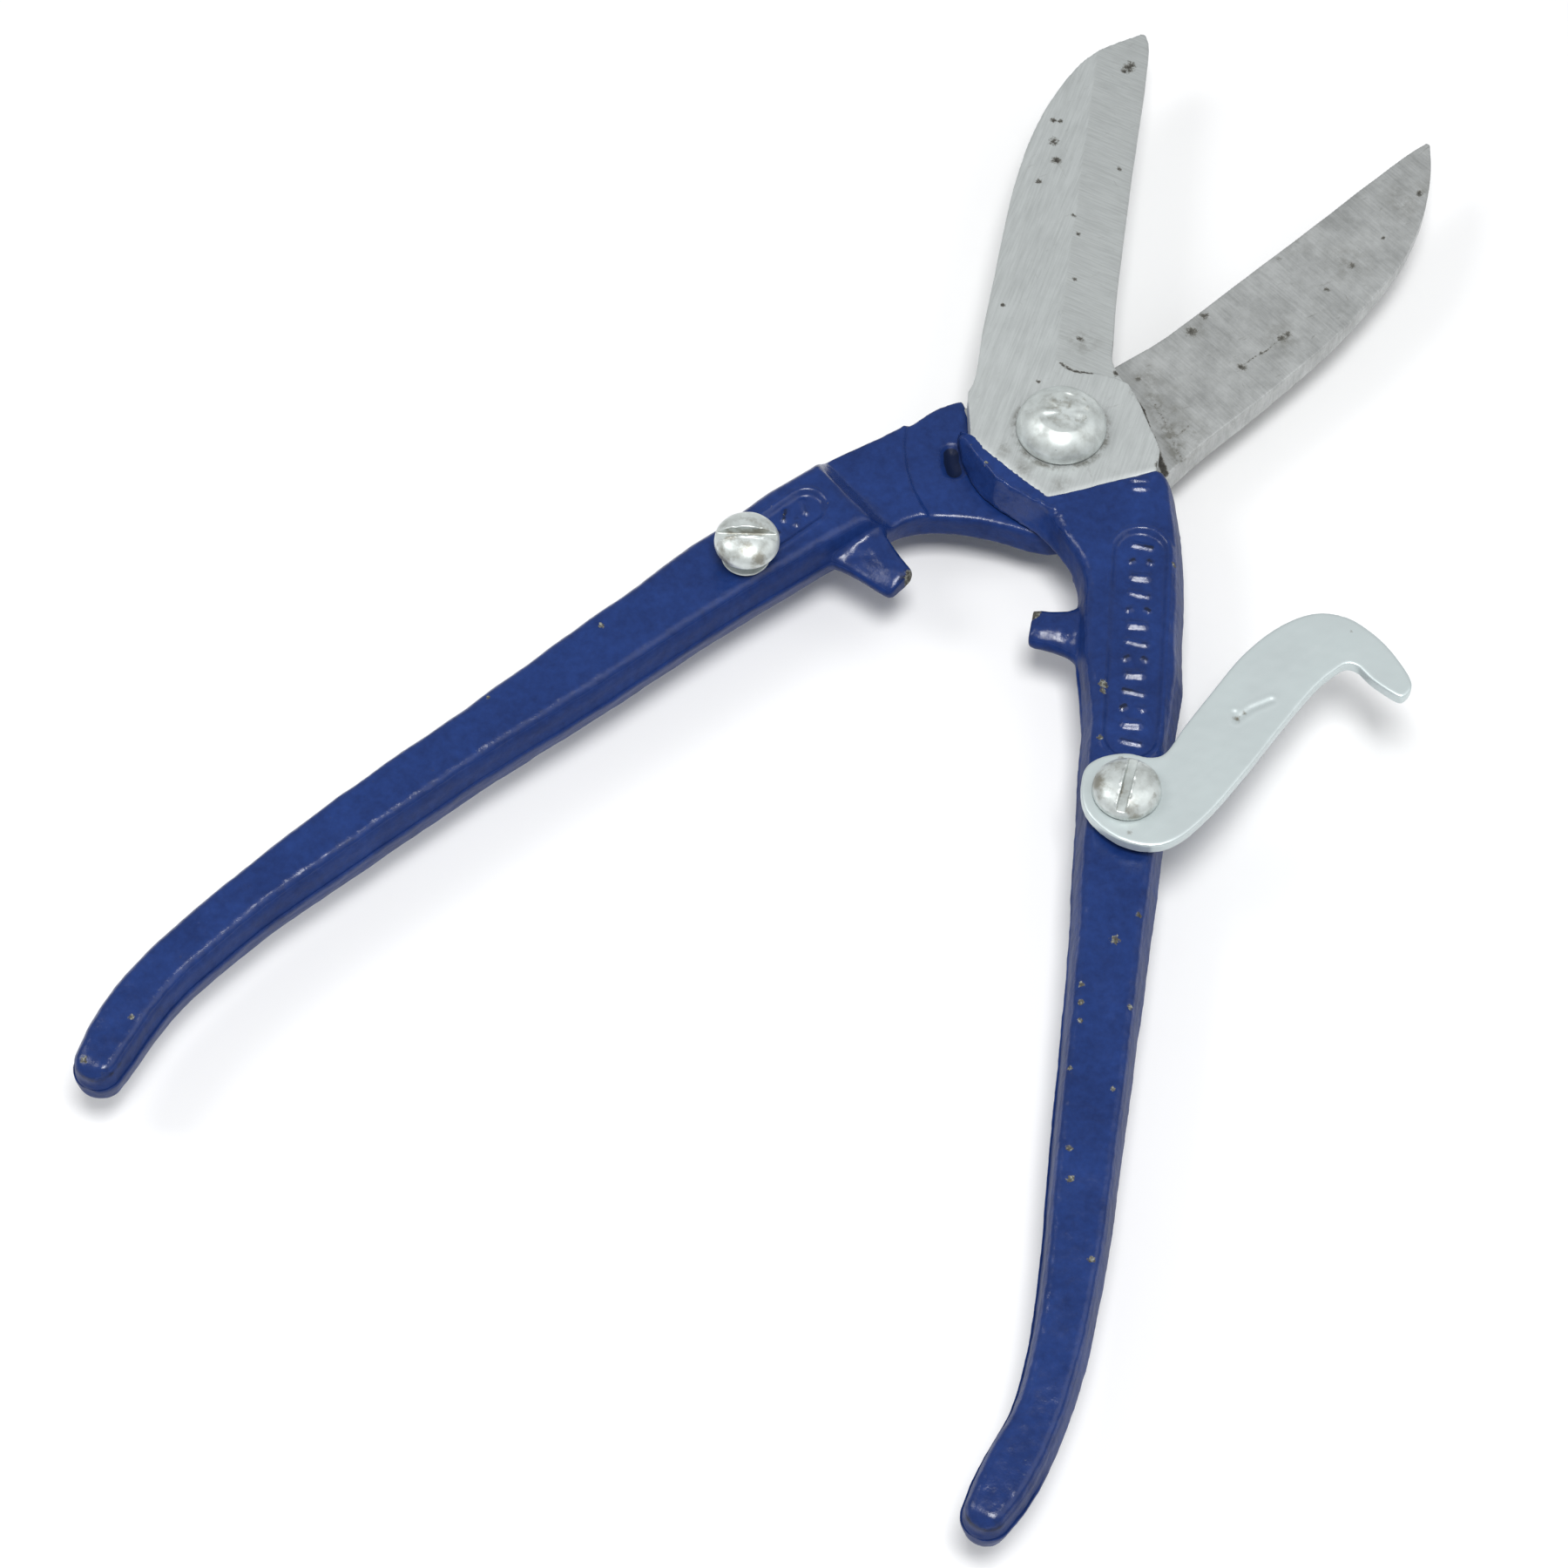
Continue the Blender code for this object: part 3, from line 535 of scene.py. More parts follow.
LEFT_MARKS = [
    [(-32.6, -34.6), (-30.9, -36.4)], [(-31.6, -38.6), (-31.2, -39.4)], [(-34.2, -37.9), (-33.6, -39.6)],
]
LEFT_DOT = (-33.2, -42.6)
LUG_CORNERS = {"right_handle": (11.9, -33.9, 2.3), "left_handle": (-9.1, -37.2, 2.8)}   # x, y, size
RIGHT_CHIPS = [
    (30.0, -43.6, 1.5), (30.6, -45.0, 1.0), (34.2, -53.4, 1.0), (29.7, -15.9, 0.8), (18.8, 0.4, 0.9),
    (53.5, -86.6, 1.5), (52.4, -96.7, 1.0), (53.8, -99.6, 1.1), (55.2, -102.7, 1.0), (57.5, -111.0, 0.9),
    (63.8, -123.8, 1.1), (66.4, -128.5, 1.3), (75.4, -139.2, 1.1), (-8.3, -12.6, 0.8), (-12.4, -10.3, 0.6),
    (-2.3, -22.1, 1.3), (54.9, -80.6, 0.9), (84.1, -178.0, 0.9), (61.1, -96.5, 0.9), (65.3, -111.2, 0.8),
]
LEFT_CHIPS = [
    (-50.1, -74.0, 1.0), (-53.9, -74.9, 0.9), (-77.1, -185.5, 1.4), (-81.7, -184.9, 1.3),
    (-79.0, -175.0, 1.0), (-67.1, -111.4, 0.9), (-7.8, -40.7, 1.5), (-59.6, -95.6, 0.8), (2.4, -22.0, 1.2),
]


def panel_marks():
    """A row of plain raised marks down the panel: bars, pairs of pips and solid ovals in turn."""
    start, end = (np.array(p) for p in PANEL_RUN)
    along = (end - start) / np.linalg.norm(end - start)
    across = np.array((-along[1], along[0]))
    strokes = []
    for k in range(MARKS):
        centre = start + (end - start) * k / (MARKS - 1)
        if k % 3 == 0:
            strokes.append([centre - across * 1.6, centre + across * 1.6 + along * 0.5])
        elif k % 3 == 1:
            for offset in (-1.35, 1.35):
                strokes.append([centre + across * offset, centre + across * offset * 1.3 + along * 0.3])
        else:
            for shift in (-0.35, 0.35):
                middle = centre + along * shift
                strokes.append([middle - across * 1.3, middle + across * 1.3])
    return strokes


def spots(skin, places, fade):
    """1 at each (x, y, size) place in plan, less by `fade` for each size away from it."""
    out = np.zeros(len(skin.co))
    for x, y, size in places:
        out = np.maximum(out, 1.0 - from_point(skin.co, (x, y)) / size * fade)
    return np.clip(out, 0.0, 1.0)


def arm_form(skin, side):
    """Each point as it would lie on the right arm: its place in plan, and its height above the lap."""
    turned = (skin.co - (0.0, 0.0, LAP_Z)) * (side, 1.0, side)
    return turned[:, :2], turned[:, 2]


def slide(skin, side, plan, amount):
    """Move points in plan toward the blade, square to whichever side of the paint's V they are by."""
    by_left_side = plan[:, 0] < PAINT_V[2][0]
    skin.co[:, 0] += side * amount * np.where(by_left_side, 0.26, -0.71)
    skin.co[:, 1] += amount * np.where(by_left_side, 0.97, 0.70)


def shape_lip(skin, side):
    """The lip beside the blade: a flat strip as high as the blade, then a steep wall down to the lap.

    Returns 1 where the lip is, as do the functions below for what they shape.
    """
    plan, up = arm_form(skin, side)
    x, y = plan[:, 0], plan[:, 1]
    crest_x, crest_y = np.array(CREST).T
    beyond = np.interp(x, crest_x, crest_y) - y
    wanted = HALF_T - LIP_INSET - LIP_SLOPE * np.clip(beyond - LIP_INSET, 0.0, None)
    share = rise(skin.normal[:, 2] * side, 0.15, 0.3) * rise(up, 0.5, 0.5)
    share *= drop(x, 7.5, 2.5) * rise(x, -17.0, 1.0) * rise(y, -26.0, 4.0)
    skin.co[:, 2] += side * np.clip(wanted - up, 0.0, None) * share
    tip = drop(from_point(plan, LIP_TIP), 2.6, 2.6) * rise(up, 0.6, 1.2)
    skin.co[:, 0] -= side * 0.55 * tip
    skin.co[:, 1] += 1.25 * tip
    skin.co[:, 0] -= side * beside(plan, LIP_END, 2.6) * rise(up, 0.3, 0.5)
    on_lip = beside(plan, LIP_ZONE, 3.2) * rise(up, 0.5, 1.0)
    skin.soften(1.0 - on_lip, 7)
    skin.soften(on_lip, 2)
    return on_lip


def shape_lug(skin, plan):
    """The top of the stop lug falls away toward its outer edge, and the lug flows into the neck."""
    start, end = np.array(LUG_EDGE[0]), np.array(LUG_EDGE[-1])
    run = (end - start) / np.linalg.norm(end - start)
    ahead = (plan - start) @ np.array((run[1], -run[0]))
    along = (plan - start) @ run
    shoulder = 0.17 * np.clip(ahead + 1.3, 0.0, 2.6) ** 2 * rise(along, -4.5, 1.5) * drop(along, 11.0, 2.5)
    height = skin.co[:, 2] - LAP_Z
    over_lug = rise(height, 0.4, 1.2) * drop(height, 3.4, 0.6)
    skin.co[:, 2] -= shoulder * over_lug
    skin.soften(ease(beside(plan, LUG_RUN, 10.0) / 0.4), 60, (0.30, 1.0, 1.0))
    return over_lug


def coat(skin, side, plan, up, over_lug, seed):
    """Beads of thick paint, its build-up round the machined lap, and its thick end against the blade."""
    top = rise(up, HALF_T - 1.6, 1.2)
    for path, width, height in BEADS:
        uneven = 0.75 + 0.25 * waves(skin.co, 2.2, seed + 4)
        skin.co[:, 2] += side * top * height * uneven * beside(plan, path, width)
    skin.co[:, 2] += 0.05 * waves(skin.co, 2.0, seed + 6) * beside(plan, LUG_EDGE, 2.2) * over_lug
    built_up = hump(from_point(plan, PIVOT), LAP_R + 0.3, 0.9) * drop(up, 0.6, 0.6) * rise(up, -2.5, 0.8)
    skin.push(0.16 * built_up)
    paint_end = beside(plan, PAINT_EDGE, 1.0)
    slide(skin, side, plan, 0.14 * paint_end)
    skin.co[:, 2] += side * top * paint_end * 0.16
    return paint_end


def undercut(skin):
    """A hollow in the left handle's lap, beside the end of the lip."""
    height = skin.co[:, 2] - LAP_Z
    hollow = beside(skin.co[:, :2], UNDERCUT, 2.6) * drop(height, 0.5, 0.5) * rise(height, -2.0, 1.0)
    skin.co[:, 2] -= 1.2 * hollow
    return hollow


def emboss(skin, node):
    """The panel's rim and its raised marks. Returns 1 on upper faces, and the distance from the panel."""
    upper = rise(skin.co[:, 2] - LAP_Z, HALF_T - 1.6, 0.8)
    flat = skin.co[:, :2]
    start, end, half_width = PANELS[node]
    outside = from_line(flat, [start, end]) - half_width
    skin.co[:, 2] += upper * (0.26 * hump(outside, 0.5, 0.7) - 0.30 * drop(outside, 0.0, 0.8))
    if node == "right_handle":
        for stroke in panel_marks() + RIGHT_GLINTS:
            skin.co[:, 2] += 0.38 * upper * beside(flat, stroke, 1.0)
    else:
        for stroke in LEFT_MARKS:
            skin.co[:, 2] += 0.45 * upper * beside(flat, stroke, 0.9)
        skin.co[:, 2] += 0.8 * upper * drop(from_point(flat, LEFT_DOT), 0.9, 0.9)
    return upper, outside


def handle(node, body, side, chips, seed):
    """A handle's enamelled forging. Side is 1 for the right arm, and -1 for the left one, turned over."""
    obj = remesh(cad_copy(node, node + "_enamelled"), HANDLE_VOXEL, 3)
    skin = Skin(obj)
    on_lip = shape_lip(skin, side)
    plan, up = arm_form(skin, side)
    over_lug = shape_lug(skin, plan)
    radius = from_point(plan, PIVOT)
    in_lap = drop(radius, 34.0, 3.0) * drop(up, 1.5, 0.5)
    skin.soften(in_lap * rise(from_line(plan, PAINT_V), 1.5, 2.0), 16)

    # forging ripple: long waves, then a fine unevenness, calmer on the machined lap
    machined = drop(radius, 29.0, 3.0) * drop(up, 2.0, 1.0)
    ripple = sum(height * waves(skin.co, length, seed + k) for k, (length, height) in enumerate(RIPPLES))
    skin.push(ripple * (1.0 - 0.75 * machined))

    paint_end = coat(skin, side, plan, up, over_lug, seed)
    hollow = undercut(skin) if side < 0 else np.zeros(len(skin.co))
    upper, outside = emboss(skin, node)

    # thinned paint on sharp outer edges; the hollow beside the lip is added as painted shade
    proud = skin.bulge(10)
    proud = np.clip(proud / np.percentile(proud, 99.0), 0.0, 1.2)
    patchy = 0.5 + 0.5 * waves(skin.co, 6.0, seed + 5)
    worn_zone = (1.0 - in_lap) * (1.0 - paint_end) * (1.0 - on_lip)
    thin_paint_and_shade = np.clip(proud * (0.25 + 0.35 * patchy), 0.0, 1.0) * worn_zone
    thin_paint_and_shade *= 1.0 - upper * drop(np.abs(outside - 0.5), 1.6, 1.0)
    # the hollow beside the lip's end is painted dark blue as painted shade
    skin.paint("thin_paint_and_shade", np.maximum(thin_paint_and_shade, 1.8 * rise(hollow, 0.30, 0.5)))
    level = rise(np.abs(skin.normal[:, 2]), 0.35, 0.3)
    skin.paint("flank", np.maximum(1.0 - level, ease(hollow / 0.3)))

    # chips: on level faces, at the grip's end and the lug's end, on edges, and at the lug's corner
    ends = 0.35 * rise(-skin.co[:, 1], 178.0, 9.0)
    ends += 0.55 * beside(plan, LUG_FACE, 1.8) * drop(np.abs(up), 3.4, 0.6)
    wear = np.maximum.reduce([
        0.92 * spots(skin, chips, 0.85) * level,
        ends * (0.3 + 0.5 * proud),
        0.5 * rise(proud, 0.6, 0.5) * rise(waves(skin.co, 5.0, seed + 7), 1.7, 0.4) * worn_zone,
        0.86 * ease(1.6 * spots(skin, [LUG_CORNERS[node]], 1.0)),
    ])
    skin.paint("wear", wear)
    skin.push(-0.08 * rise(wear, 0.45, 0.3))
    skin.done()
    hand_over(obj, enamel, "blue_enamel", body, node)


handle("right_handle", "right_arm", 1.0, RIGHT_CHIPS, 11)
handle("left_handle", "left_arm", -1.0, LEFT_CHIPS, 47)


# ---------------------------------------------------------------- blades
# The band, the boss and the shoulder are in right-arm form. Pits, soot patches, the painted shade beside the boss
# and smudges are where they lie on the finished tool.
BAND_LINE = [(-34.0, 82.7), (-8.0, 13.5)]
BOSS_EDGE = [
    (-12.0, 13.2), (-6.5, 12.9), (-4.5, 12.4), (-2.7, 12.8), (-0.6, 13.7), (1.4, 14.3), (4.0, 14.7),
    (40.0, 14.7),
]
SHOULDER = [(-0.8, 22.6), (0.9, 18.6), (4.0, 15.9), (7.6, 13.5), (12.0, 9.5), (19.8, 1.9)]
FRONT_PITS = [                                  # x, y and size
    (-27.3, 82.6, 1.4), (-27.1, 83.6, 1.1), (-27.6, 81.4, 0.9), (-33.4, 63.5, 0.9), (-32.3, 63.8, 0.7),
    (-31.1, 58.9, 1.3), (-28.6, 54.9, 1.1), (-29.1, 48.8, 0.8), (-17.7, 59.3, 0.7), (-19.8, 44.7, 0.6),
    (-17.2, 41.2, 0.7), (-13.0, 31.5, 0.6), (-21.5, 19.6, 0.6), (-6.1, 19.7, 0.8), (-8.2, 7.4, 0.5),
    (2.8, 16.2, 0.8), (18.2, 1.6, 0.9),
]
FRONT_SOOT = [(-5.5, 19.5, 3.5), (-2.0, -10.5, 2.5), (-7.0, -8.5, 2.0), (5.5, -10.5, 2.0), (8.0, 13.5, 1.5)]
BACK_PITS = [
    (9.1, 34.8, 1.5), (9.7, 39.0, 1.1), (20.4, 31.8, 1.2), (24.0, 41.2, 1.2), (24.6, 42.4, 0.9),
    (28.1, 62.1, 0.9), (26.4, 54.9, 0.7), (15.8, 57.2, 0.6), (32.0, 83.3, 1.0), (5.4, 20.7, 0.8),
    (30.4, 70.5, 0.6), (22.1, 36.4, 0.6),
]
BACK_SOOT = [
    (11.6, 20.6, 2.2), (14.0, 17.8, 2.6), (16.6, 15.2, 3.0), (18.9, 14.6, 3.4), (19.5, 11.5, 3.6),
    (6.5, 21.5, 3.6), (27.0, 62.0, 4.5), (24.0, 41.0, 4.0), (30.0, 80.0, 4.0), (17.0, 62.0, 3.0),
    (9.5, 36.0, 2.5), (33.0, 86.0, 3.0),
]
# painted shade: a dark wedge on the back blade's lap face beside the front blade's boss
PAINTED_SHADE_BY_BOSS = [                                       # path, reach, and the width over which it fades there
    ([(0.3, 20.3), (2.1, 19.1), (5.1, 17.4), (9.1, 14.9), (12.8, 10.6)], 0.75, 0.6),
    ([(12.8, 10.6), (16.3, 6.8), (18.6, 4.4)], 1.25, 1.0),
]
SMUDGES = [                                     # path, width and depth of colour
    ([(9.4, 17.8), (13.0, 15.0), (15.2, 12.6), (17.9, 10.2), (20.0, 8.3)], 1.0, 0.56),
    ([(15.2, 12.6), (17.0, 12.9), (17.7, 15.5)], 0.7, 0.60),
    ([(20.3, 31.9), (21.4, 34.9), (22.6, 36.9), (23.5, 40.0), (23.5, 41.6)], 0.5, 0.62),
]


def ground_band(plan):
    """1 on the strip ground along the cutting edge, which stops short of the boss."""
    start, end = (np.array(p) for p in BAND_LINE)
    run = (end - start) / np.linalg.norm(end - start)
    across = (plan - start) @ np.array((-run[1], run[0]))
    boss_x, boss_y = np.array(BOSS_EDGE).T
    return ease(across / 0.35) * rise(plan[:, 1], np.interp(plan[:, 0], boss_x, boss_y), 0.3)


def blade(node, body, side, mat, pits, soot_and_shadow, seed):
    """A blade's bare steel. Side is 1 for the right arm, and -1 for the left one, turned over."""
    obj = remesh(cad_copy(node, node + "_ground"), BLADE_VOXEL, 3)
    skin = Skin(obj)
    plan, up = arm_form(skin, side)
    skin.push(0.018 * waves(skin.co, 9.0, seed) + 0.006 * waves(skin.co, 2.5, seed + 1))

    # the root runs a little way under the paint
    under_paint = beside(plan, PAINT_EDGE, 0.8)
    slide(skin, side, plan, -0.9 * under_paint)
    skin.co[:, 2] -= side * under_paint * rise(up, 2.0, 2.0) * 0.35

    outer_side = rise(up, 0.6, 0.6)
    skin.paint("band", ground_band(plan) * outer_side)
    flank = drop(np.abs(skin.normal[:, 2]), 0.75, 0.3)
    # 'wear' holds the pits, painted shade on the walls beside the shoulder, and darker lines along the shoulder and
    # the boss's edge
    stain_and_shade = 0.34 + 0.10 * waves(skin.co, 5.0, seed + 2)
    wear = [
        0.92 * spots(skin, pits, 0.58),
        stain_and_shade * beside(plan, SHOULDER, 1.6) * flank * outer_side,
        0.45 * beside(plan, SHOULDER, 0.9),
        0.78 * beside(plan, BOSS_EDGE[1:5], 0.9) * outer_side,
    ]
    # painted shadow: a dark ring round the bolt head, through the soot attribute
    painted_head_shadow = hump(from_point(plan, PIVOT), 8.2, 1.1) * outer_side
    grey = [0.8 * spots(skin, soot_and_shadow, 0.8), 1.2 * painted_head_shadow]
    if side < 0:
        lap_face = drop(up, 1.0, 0.5)
        flat = skin.co[:, :2]
        # painted shade beside the front blade's boss, through 'wear'
        wear += [0.95 * lap_face * drop(from_line(flat, path), reach, fade) for path, reach, fade in PAINTED_SHADE_BY_BOSS]
        wear += [depth * lap_face * beside(flat, path, width) for path, width, depth in SMUDGES]
        grey.append(1.1 * lap_face * drop(from_line(flat, SMUDGES[0][0]), 2.6, 2.0))
    wear = np.maximum.reduce(wear)
    skin.paint("wear", wear)
    skin.paint("soot_and_shadow", np.maximum.reduce(grey))
    skin.push(-0.09 * rise(wear, 0.55, 0.3))
    skin.done()
    hand_over(obj, mat, "blade_steel", body, node)


blade("front_blade", "right_arm", 1.0, front_steel, FRONT_PITS, FRONT_SOOT, 5)
blade("back_blade", "left_arm", -1.0, back_steel, BACK_PITS, BACK_SOOT, 23)


# ---------------------------------------------------------------- pivot bolt, washer and nut
HEAD_R, HEAD_DOME, HEAD_RIM, BOLT_R = 7.9, 4.8, 0.8, 4.0
FLAT_R = 4.1             # radius of the flat on top of the dome
GAP = 0.3                # between the arms and the bolt's head or washer
PITCH = 1.25
THREAD_DEPTH = 0.55
THREAD_TOP = 7.8         # the thread reaches this high
BORE_R = BOLT_R + 0.3
DISH = (0.35, 0.45)      # middle of the peened dish in the head
DISH_R = 4.35


def pivot_bolt():
    """The bolt, turned in one with its domed and peened head and a cut thread."""
    head_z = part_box("pivot_washer")[1].z / MM + 2 * HALF_T + 2 * GAP
    profile = [(0.0, head_z + 5.15), (1.5, head_z + 5.12), (2.9, head_z + 5.05)]
    top = math.acos(FLAT_R / HEAD_R)
    for k in range(26):
        turn = top * (1.0 - k / 25)
        profile.append((HEAD_R * math.cos(turn), head_z + HEAD_RIM + HEAD_DOME * math.sin(turn)))
    profile += [(HEAD_R, head_z + 0.35), (HEAD_R - 0.12, head_z + 0.1), (HEAD_R - 0.35, head_z)]
    profile.append((BOLT_R, head_z))
    z = head_z - 0.6
    while z > 0.75:
        profile.append((BOLT_R, z))
        z -= 0.11 if z < THREAD_TOP + 0.2 else 1.0
    profile += [(BOLT_R - 0.35, 0.30), (BOLT_R - 0.65, 0.06), (BOLT_R - 0.9, 0.0), (1.5, 0.05), (0.0, 0.08)]

    def thread(turn, radius, height):
        if height > THREAD_TOP or radius < BOLT_R - 0.01:
            return radius
        phase = (height / PITCH - turn / (2 * math.pi)) % 1.0
        return radius - THREAD_DEPTH * abs(2 * phase - 1.0)

    obj = lathe("pivot_bolt_domed", profile, 180, warp=thread)
    skin = Skin(obj)
    away = from_point(skin.co, DISH)
    on_head = rise(skin.co[:, 2], head_z + 1.0, 0.8)
    peened = on_head * drop(away, DISH_R, 0.7)
    skin.co[:, 2] += peened * (0.095 * waves(skin.co, 1.6, 3) - 0.30)
    skin.push(on_head * 0.022 * waves(skin.co, 3.4, 4))
    dish_edge = on_head * hump(away, DISH_R, 0.5) * (0.6 + 0.4 * waves(skin.co, 5.0, 12))
    skin.paint("wear", peened * (0.34 + 0.20 * waves(skin.co, 2.2, 9)) + 0.10 * on_head + 0.30 * dish_edge)
    skin.paint("speckle", on_head * 0.70 + peened * 0.30)
    skin.done()
    return obj


def ring(name, inner, outer, height, edge, sides=120, warp=None):
    """A washer or nut blank standing on z = 0, with three softly broken edges.

    Known fault: its profile has no lower outer corner, so one slope runs from the inner bottom edge to
    the outer top edge, and the points' order makes the surface face inwards.
    """
    corners = [(outer, 0.0), (outer, height), (inner, height), (inner, 0.0), (outer, 0.0)]
    profile = rounded(corners, edge)[1:-1]
    dense = []
    for a, b in zip(profile, profile[1:] + profile[:1]):
        steps = max(1, int(math.dist(a, b) / 0.5))
        dense += [tuple(np.array(a) + (np.array(b) - np.array(a)) * k / steps) for k in range(steps)]
    return lathe(name, dense, sides, ring_shaped=True, warp=warp)


def small_skin(obj, seed):
    """The faint ripple and stains of a small zinc plated part."""
    skin = Skin(obj)
    skin.push(0.012 * waves(skin.co, 2.4, seed))
    skin.paint("wear", 0.1 + 0.12 * waves(skin.co, 4.0, seed + 1))
    skin.paint("speckle", np.full(len(skin.co), 0.25))
    skin.done()
    return obj


def pivot_nut():
    low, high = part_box("pivot_nut")
    height = (high.z - low.z) / MM
    flats = (high.x - low.x) / MM / 2

    def hexagon(turn, radius, z):
        """Six flats, with their corners cut off by a cone above and below."""
        if radius < BOLT_R + 0.8:
            return radius
        from_flat = (turn + math.pi / 6) % (math.pi / 3) - math.pi / 6
        reach = flats / math.cos(from_flat)
        cone = flats * 0.985 + min(z, height - z) * 1.75
        return min(reach, cone) * radius / flats

    obj = ring("pivot_nut_hex", BORE_R, flats, height, 0.22, 180, hexagon)
    return place(small_skin(obj, 71), 0.0, 0.0, low.z / MM)


def pivot_washer():
    low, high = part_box("pivot_washer")
    obj = ring("pivot_washer_plain", BORE_R, 8.0, (high.z - low.z) / MM, 0.22)
    return place(small_skin(obj, 81), 0.0, 0.0, low.z / MM)


hand_over(pivot_bolt(), zinc, "zinc_plate", "right_arm", "pivot_bolt")
hand_over(pivot_nut(), zinc, "zinc_plate", "right_arm", "pivot_nut")
hand_over(pivot_washer(), zinc, "zinc_plate", "right_arm", "pivot_washer")


# ---------------------------------------------------------------- latch and catch screws
SCREW_HEAD_H = 3.7
SLOT_HALF = Vector((2.2, 0.78, 3.0))     # half sizes of the slot's cutter: its length is in head radii
SLOT_FLOOR = 1.9                         # height of the slot's floor in the head
BOX_FACES = [(0, 2, 3, 1), (4, 5, 7, 6), (0, 1, 5, 4), (2, 6, 7, 3), (0, 4, 6, 2), (1, 3, 7, 5)]


def slotted_screw(node, name, body, centre, head_r, neck_r, slot_turn, seed):
    """A round-head screw with a burred slot, turned by some degrees and stood at a place in plan."""
    low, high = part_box(node)
    bottom, head_z = low.z / MM, high.z / MM - SCREW_HEAD_H
    profile = [(0.0, head_z + 3.72)]
    for k in range(1, 25):
        turn = math.pi / 2 * (1.0 - k / 24)
        profile.append((head_r * math.cos(turn), head_z + 0.8 + 2.9 * math.sin(turn)))
    profile += [(head_r, head_z + 0.25), (head_r - 0.12, head_z + 0.05), (head_r - 0.4, head_z)]
    profile += [(neck_r, head_z), (neck_r, bottom + 0.5), (neck_r - 0.5, bottom), (0.0, bottom)]
    obj = lathe(name, profile, 128)
    corners = [(sx * SLOT_HALF.x * head_r, sy * SLOT_HALF.y, head_z + SLOT_FLOOR + (1 + sz) * SLOT_HALF.z)
               for sz in (-1, 1) for sy in (-1, 1) for sx in (-1, 1)]
    cut(obj, new_object("slot", corners, BOX_FACES))
    remesh(obj, SCREW_VOXEL, 3)

    skin = Skin(obj)
    y, height = skin.co[:, 1], skin.co[:, 2] - head_z
    beside_slot = np.abs(np.abs(y) - 0.98)
    on_top = rise(height, 1.6, 0.5)
    in_slot = drop(np.abs(y), 0.75, 0.3) * drop(height, 3.4, 0.6) * on_top
    burr = 0.5 + 0.5 * waves(skin.co, 1.6, seed)
    skin.co[:, 2] += on_top * drop(beside_slot, 0.38, 0.38) * 0.20 * np.clip(burr, 0.0, 1.2)
    skin.push(0.014 * waves(skin.co, 2.6, seed + 1))
    left = ease(-skin.co[:, 1] * np.sign(90.0 - slot_turn) / 4.0)
    # painted shade: one wall of the slot is darkened through 'wear'
    painted_slot_shade = hump(skin.co[:, 1], 0.62, 0.34) * drop(skin.co[:, 2], head_z + 3.5, 0.5) * on_top
    wear = 0.22 + 0.20 * waves(skin.co, 4.0, seed + 2) + 0.05 * in_slot + 0.22 * left + 0.55 * painted_slot_shade
    skin.paint("wear", wear)
    skin.paint("speckle", np.full(len(skin.co), 0.35))
    turn = math.radians(slot_turn)
    x, y = skin.co[:, 0].copy(), skin.co[:, 1].copy()
    skin.co[:, 0] = centre[0] + x * math.cos(turn) - y * math.sin(turn)
    skin.co[:, 1] = centre[1] + x * math.sin(turn) + y * math.cos(turn)
    skin.done()
    hand_over(obj, zinc, "zinc_plate", body, node)


slotted_screw("latch_screw", "latch_screw_slotted", "right_arm", LATCH_PIVOT, 5.7, 2.5, LATCH_SLOT_TURN, 31)
slotted_screw("catch_screw", "catch_screw_slotted", "left_arm", CATCH_POS, 5.6, 2.3, CATCH_SLOT_TURN, 61)

for node, body, inner in (("latch_washer", "right_arm", 2.8), ("catch_washer", "left_arm", 2.9)):
    low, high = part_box(node)
    plain = ring(node + "_plain", inner, (high.x - low.x) / MM / 2, (high.z - low.z) / MM, 0.18)
    place(small_skin(plain, 91), (low.x + high.x) / 2 / MM, (low.y + high.y) / 2 / MM, low.z / MM)
    hand_over(plain, zinc, "zinc_plate", body, node)


# ---------------------------------------------------------------- latch hook
GOUGE = [(52.6, -40.6), (53.4, -41.7), (54.6, -38.6), (56.9, -35.4)]
LATCH_STAINS = [
    (62.9, -16.6, 0.6), (40.0, -57.4, 1.2), (47.5, -69.8, 1.0), (53.4, -41.4, 1.3), (54.0, -39.9, 0.8),
]


def latch():
    """The stamped hook, with a shallow gouge and a few stains."""
    obj = remesh(cad_copy("latch_hook", "latch_hook_stamped"), LATCH_VOXEL, 6)
    skin = Skin(obj)
    top = rise(skin.co[:, 2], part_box("latch_hook")[1].z / MM - 0.8, 0.5)
    skin.push(0.020 * waves(skin.co, 12.0, 77) + 0.006 * waves(skin.co, 3.0, 78))
    away = from_line(skin.co[:, :2], GOUGE)
    skin.co[:, 2] += top * (0.03 * hump(away, 1.0, 0.6) - 0.15 * drop(away, 0.75, 0.75))
    skin.paint("wear", np.maximum(0.38 * drop(away, 0.8, 0.8), 0.7 * spots(skin, LATCH_STAINS, 0.6)))
    skin.done()
    hand_over(obj, latch_zinc, "latch_zinc", "latch", "latch_hook")


latch()


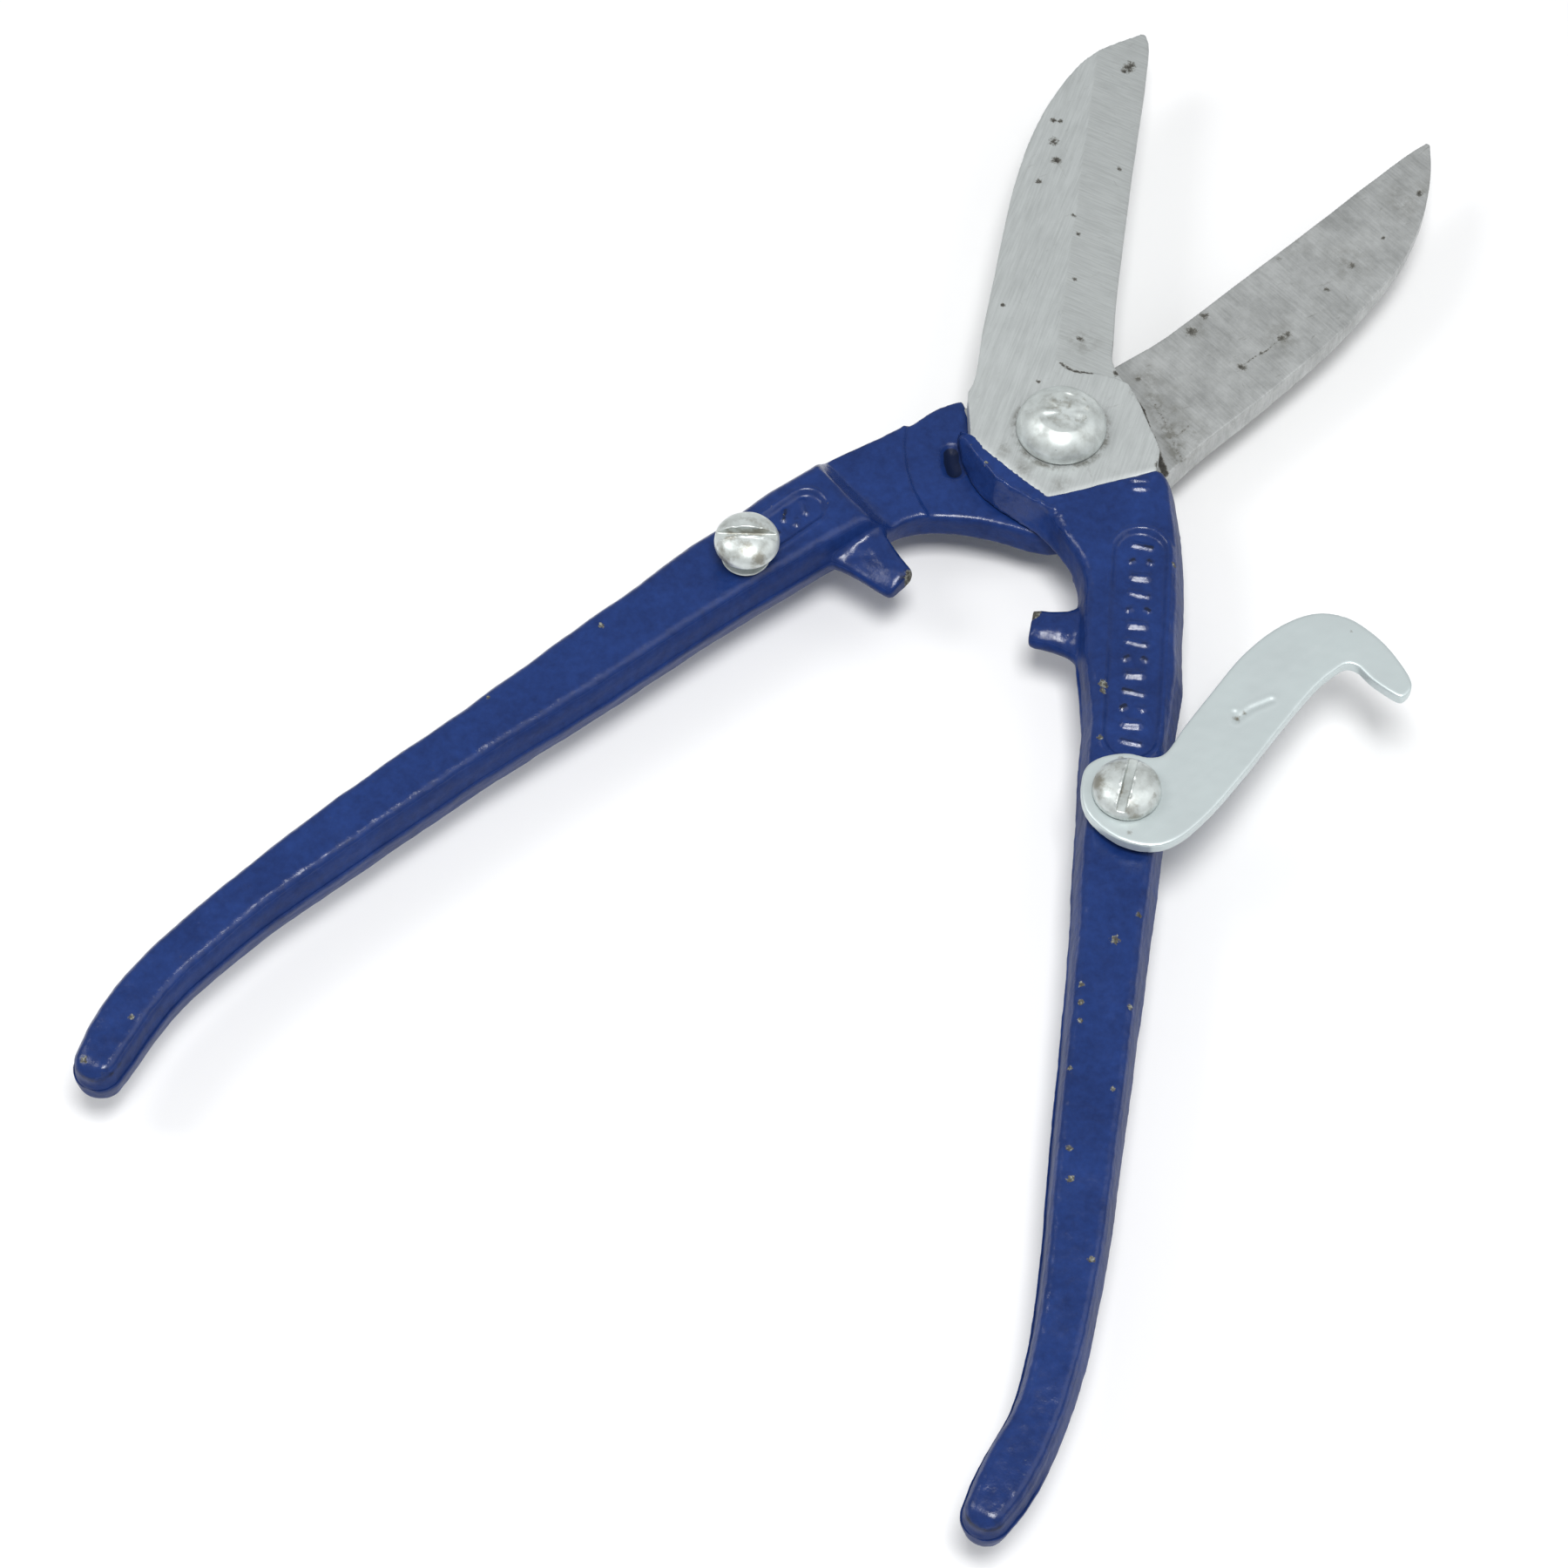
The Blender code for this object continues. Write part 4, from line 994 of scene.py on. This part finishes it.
# ---------------------------------------------------------------- stage, light and camera
CAMERA_AZIMUTH, CAMERA_ELEVATION = 28.7, 59.0   # degrees, azimuth 0 looking along +Y
CAMERA_DISTANCE = 0.7008                        # metres
CAMERA_AIM = (-9.5, -83.5, 14.8)
LIGHT_AIM = (0.0, -60.0, 0.0)
LIGHTS = [                                      # name, azimuth, elevation, distance and size (m), watts
    ("key", 35.0, 74.0, 1.0, 0.30, 7.4),
    ("fill_left", -68.0, 50.0, 1.2, 0.45, 3.3),
    ("fill_right", 110.0, 45.0, 1.2, 0.9, 2.5),
]


def floor():
    bm = bmesh.new()
    bmesh.ops.create_grid(bm, x_segments=24, y_segments=24, size=2.5)
    mesh = bpy.data.meshes.new("floor")
    bm.to_mesh(mesh)
    bm.free()
    obj = bpy.data.objects.new("floor", mesh)
    scene.collection.objects.link(obj)
    mat, tree, shader = new_material("pale_floor", Roughness=0.75)
    wire(tree, shader, Base_Color=ramp(tree, grain(tree, 12.0, 3.0), (0.3, 0.86), (0.7, 0.885)))
    mesh.materials.append(mat)


def aim(obj, target, azimuth, elevation, distance):
    """Stand an object off a target given in millimetres, and point it there."""
    a, e = math.radians(azimuth), math.radians(elevation)
    back = Vector((math.sin(a) * math.cos(e), -math.cos(a) * math.cos(e), math.sin(e)))
    scene.collection.objects.link(obj)
    obj.location = Vector(target) * MM + back * distance
    obj.rotation_euler = back.to_track_quat("Z", "Y").to_euler()


def area_light(name, azimuth, elevation, distance, size, watts):
    """A soft box aimed at the middle of the tool."""
    light = bpy.data.lights.new(name, "AREA")
    light.shape = "SQUARE"
    light.size = size
    light.energy = watts
    aim(bpy.data.objects.new(name, light), LIGHT_AIM, azimuth, elevation, distance)


def world():
    scene.world = bpy.data.worlds.new("studio")
    scene.world.use_nodes = True
    background = scene.world.node_tree.nodes["Background"]
    background.inputs["Color"].default_value = (0.96, 0.98, 1.0, 1.0)
    background.inputs["Strength"].default_value = 0.36


def camera():
    data = bpy.data.cameras.new("camera")
    data.lens = 96.0
    data.sensor_width = 36.0
    data.clip_start = 0.01
    obj = bpy.data.objects.new("camera", data)
    aim(obj, CAMERA_AIM, CAMERA_AZIMUTH, CAMERA_ELEVATION, CAMERA_DISTANCE)
    scene.camera = obj


floor()
world()
for light in LIGHTS:
    area_light(*light)
camera()
scene.view_settings.view_transform = "Standard"
